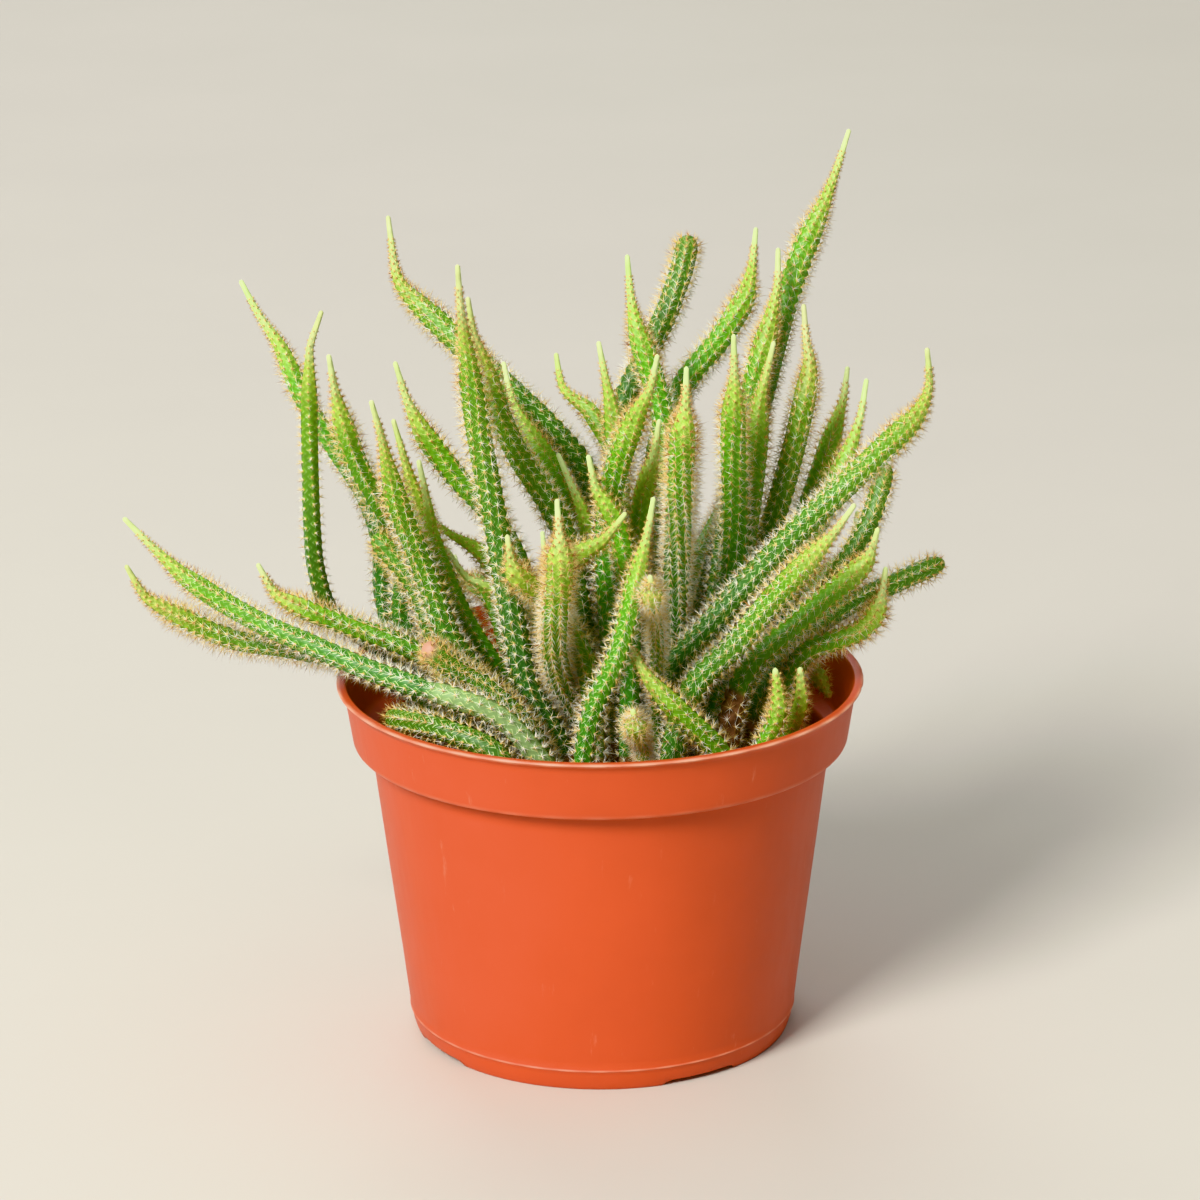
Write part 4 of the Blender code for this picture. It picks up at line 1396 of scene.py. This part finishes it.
@dataclass
class PottingMix:
    """Peaty mix with a crumbly top, loose crumbs, bark and grit."""

    edge_radius_mm: float = 64.8
    mound_mm: tuple[tuple[float, float], ...] = (
        (0.0, 86.0), (12.0, 85.3), (30.0, 83.5), (50.0, 81.0), (62.0, 79.2), (64.8, 77.8))
    rings: int = 60
    steps: int = 150
    crumbs: int = 1100
    pebbles: int = 340
    crumb_size_mm: tuple[float, float] = (0.7, 2.2)
    pebble_size_mm: tuple[float, float] = (0.6, 1.7)
    lump_waves: int = 26
    lump_lengths_mm: tuple[float, float] = (3.0, 22.0)
    lump_share: float = 0.018

    def height_mm(self, radius_mm: Array) -> Array:
        """Height of the mound at a radius, both in millimetres."""
        radii, heights = zip(*self.mound_mm)
        return np.interp(radius_mm, radii, heights)

    def build(self, finish: MixFinish) -> None:
        """Build the mix and what lies loose on it.

        Args:
            finish: Its colours.
        """
        rng = np.random.default_rng(11)
        radius = np.linspace(0.3, self.edge_radius_mm, self.rings)[:, None]
        angle = np.linspace(0, 2 * math.pi, self.steps, endpoint=False)[None]
        lumps = self.lumps(radius * np.cos(angle), radius * np.sin(angle), rng)
        height = self.height_mm(radius) + lumps * held((self.edge_radius_mm - radius) / 4)
        top = np.stack((radius * np.cos(angle), radius * np.sin(angle), height), -1)
        skirt = [(64.6, 76.0), (56.2, 6.6), (54.8, 3.8), (0.3, 3.8)]
        below = np.stack([np.stack((r * np.cos(angle[0]), r * np.sin(angle[0]),
                                    np.full(self.steps, z)), -1) for r, z in skirt])
        mesh = grid_mesh("potting_mix_top", np.concatenate((top, below)) * MM)
        close_mesh(mesh)
        mesh.materials.append(finish.material("peat", finish.peat, finish.crumb))
        add_piece("potting_mix_bed", mesh, "potting_mix", "potting_mix")
        LOG.info("potting mix: %d rings by %d steps", self.rings, self.steps)
        self.scatter("potting_mix_crumbs", self.crumbs, self.crumb_size_mm, rng,
                     finish.material("crumb", finish.peat, finish.crumb))
        self.scatter("potting_mix_grit", self.pebbles, self.pebble_size_mm, rng,
                     finish.material("grit", finish.crumb, finish.grit))

    def lumps(self, x: Array, y: Array, rng: np.random.Generator) -> Array:
        """Uneven surface as a sum of waves in many directions.

        Args:
            x: Places to the right, in millimetres.
            y: Places to the back, in millimetres.
            rng: Source of the waves.

        Returns:
            Heights in millimetres.
        """
        total = np.zeros_like(x)
        for _ in range(self.lump_waves):
            length = rng.uniform(*self.lump_lengths_mm)
            way = rng.uniform(0, 2 * math.pi)
            turns = (x * math.cos(way) + y * math.sin(way)) * 2 * math.pi / length
            total += length * self.lump_share * np.sin(turns + rng.uniform(0, 6.28))
        return total

    def scatter(self, name: str, count: int, size_mm: tuple[float, float],
                rng: np.random.Generator, material: bpy.types.Material) -> None:
        """Lay irregular grains over the mound.

        Args:
            name: The piece's name.
            count: How many grains.
            size_mm: Their least and greatest width.
            rng: Source of their places.
            material: Their material.
        """
        ball = bmesh.new()
        bmesh.ops.create_icosphere(ball, subdivisions=1, radius=1.0)
        corners = np.array([vert.co[:] for vert in ball.verts])
        faces = np.array([[vert.index for vert in face.verts] for face in ball.faces])
        ball.free()
        radius = np.sqrt(rng.uniform(0, 1, count)) * (self.edge_radius_mm - 2)
        angle = rng.uniform(0, 2 * math.pi, count)
        size = rng.uniform(*size_mm, count) / 2
        centre = np.stack((radius * np.cos(angle), radius * np.sin(angle),
                           self.height_mm(radius) + size * 0.5), 1)
        shape = corners[None] * rng.uniform(0.55, 1.25, (count, 1, 3))
        shape = shape * rng.uniform(0.8, 1.15, (count, len(corners), 1)) * size[:, None, None]
        turn = rng.uniform(0, 2 * math.pi, count)
        spun = shape.copy()
        spun[..., 0] = shape[..., 0] * np.cos(turn)[:, None] - shape[..., 1] * np.sin(turn)[:, None]
        spun[..., 1] = shape[..., 0] * np.sin(turn)[:, None] + shape[..., 1] * np.cos(turn)[:, None]
        points = (centre[:, None] + spun).reshape(-1, 3) * MM
        all_faces = (faces[None] + np.arange(count)[:, None, None] * len(corners)).reshape(-1, 3)
        mesh = mesh_from(name, points, all_faces)
        mesh.materials.append(material)
        add_piece(name, mesh, "potting_mix")
        LOG.info("%s: %d grains", name, count)


@dataclass(frozen=True)
class Lamp:
    """A square soft light aimed at the plant."""

    name: str
    where: tuple[float, float, float]
    size: float
    power: float
    colour: tuple[float, float, float] = (1.0, 1.0, 1.0)

    def hang(self, aim: Vector) -> None:
        """Put the light in the scene, turned towards a point.

        Args:
            aim: The point.
        """
        light = bpy.data.lights.new(self.name, "AREA")
        light.size = self.size
        light.energy = self.power
        light.color = self.colour
        lamp = put_in_scene(self.name, light)
        lamp.location = self.where
        lamp.rotation_euler = (aim - Vector(self.where)).to_track_quat("-Z", "Y").to_euler()


@dataclass
class Studio:
    """Plain pale floor, soft light from the left, and the camera of the front view."""

    floor_colour: Colour = srgb(204, 200, 189)
    floor_half: float = 3.4
    tilt: float = math.radians(17.86)
    roll: float = math.radians(-0.42)
    distance: float = 1.3264
    aim: tuple[float, float, float] = (0.00016, 0.0, 0.1321)
    lens_mm: float = 135.0
    sky_colour: Colour = srgb(240, 239, 237)
    sky_light: float = 0.2
    sky_seen: float = 0.95
    lit: tuple[float, float, float] = (0.0, 0.0, 0.12)
    lamps: tuple[Lamp, ...] = (
        Lamp("key_light", (-1.6, -2.4, 2.28), 1.2, 168.0, (1.0, 0.985, 0.96)),
        Lamp("fill_light", (2.4, -1.8, 1.28), 2.4, 4.0, (0.95, 0.97, 1.0)),
        Lamp("back_light", (-0.6, 2.6, 2.28), 2.0, 36.0, (1.0, 0.99, 0.98)),
        Lamp("overhead_light", (0.0, 0.0, 5.0), 12.0, 195.0))

    def build(self) -> None:
        """Lay the floor, hang the lights and stand the camera."""
        self.lay_floor()
        self.hang_lights()
        self.stand_camera()
        bpy.context.scene.view_settings.view_transform = "Khronos PBR Neutral"

    def lay_floor(self) -> None:
        """Lay a wide floor."""
        half = self.floor_half
        corners = np.array(((-half, -half, 0), (half, -half, 0), (half, half, 0), (-half, half, 0)))
        mesh = mesh_from("floor", corners, np.array(((0, 1, 2, 3),)))
        material, bench, shader = new_material("pale_floor")
        cloud = place_group(bench, mottle_group(), Place=bench.place(), Colour=self.floor_colour,
                            Cloud_Scale=6.0, Grain_Scale=900.0, Strength=0.03).outputs
        bench.feed(shader.inputs["Base Color"], cloud["Colour"])
        shader.inputs["Roughness"].default_value = 0.75
        mesh.materials.append(material)
        put_in_scene("floor", mesh)

    def hang_lights(self) -> None:
        """Hang the lights, and an even pale sky that looks brighter than it lights."""
        for lamp in self.lamps:
            lamp.hang(Vector(self.lit))
        world = bpy.data.worlds.new("pale_sky")
        world.use_nodes = True
        bench = NodeBench(world.node_tree)
        sky = world.node_tree.nodes["Background"]
        sky.inputs["Color"].default_value = self.sky_colour
        seen = bench.add("ShaderNodeLightPath").outputs["Is Camera Ray"]
        bench.feed(sky.inputs["Strength"],
                   bench.span(seen, 0.0, 1.0, self.sky_light, self.sky_seen))
        bpy.context.scene.world = world

    def stand_camera(self) -> None:
        """Stand the camera in front, tipped down onto the plant."""
        back = Vector((0.0, -math.cos(self.tilt), math.sin(self.tilt)))
        level_right = Vector((1.0, 0.0, 0.0))
        level_up = back.cross(level_right)
        right = math.cos(self.roll) * level_right + math.sin(self.roll) * level_up
        up = -math.sin(self.roll) * level_right + math.cos(self.roll) * level_up
        place = Vector(self.aim) + back * self.distance
        lens = bpy.data.cameras.new("front_camera")
        lens.lens = self.lens_mm
        lens.sensor_width = 36.0
        lens.clip_start = 0.05
        lens.clip_end = 50.0
        camera = put_in_scene("front_camera", lens)
        turn = Matrix((right, up, back)).transposed().to_4x4()
        camera.matrix_world = Matrix.Translation(place) @ turn
        bpy.context.scene.camera = camera


def main() -> None:
    """Build the pot, the mix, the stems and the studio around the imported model."""
    logging.basicConfig(level=logging.INFO, format="%(name)s: %(message)s")
    for leftover in list(bpy.data.objects):
        bpy.data.objects.remove(leftover)
    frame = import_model()
    Pot().build(PotFinish())
    PottingMix().build(MixFinish())
    StemClump(frame).build()
    Studio().build()


if __name__ == "__main__":
    main()
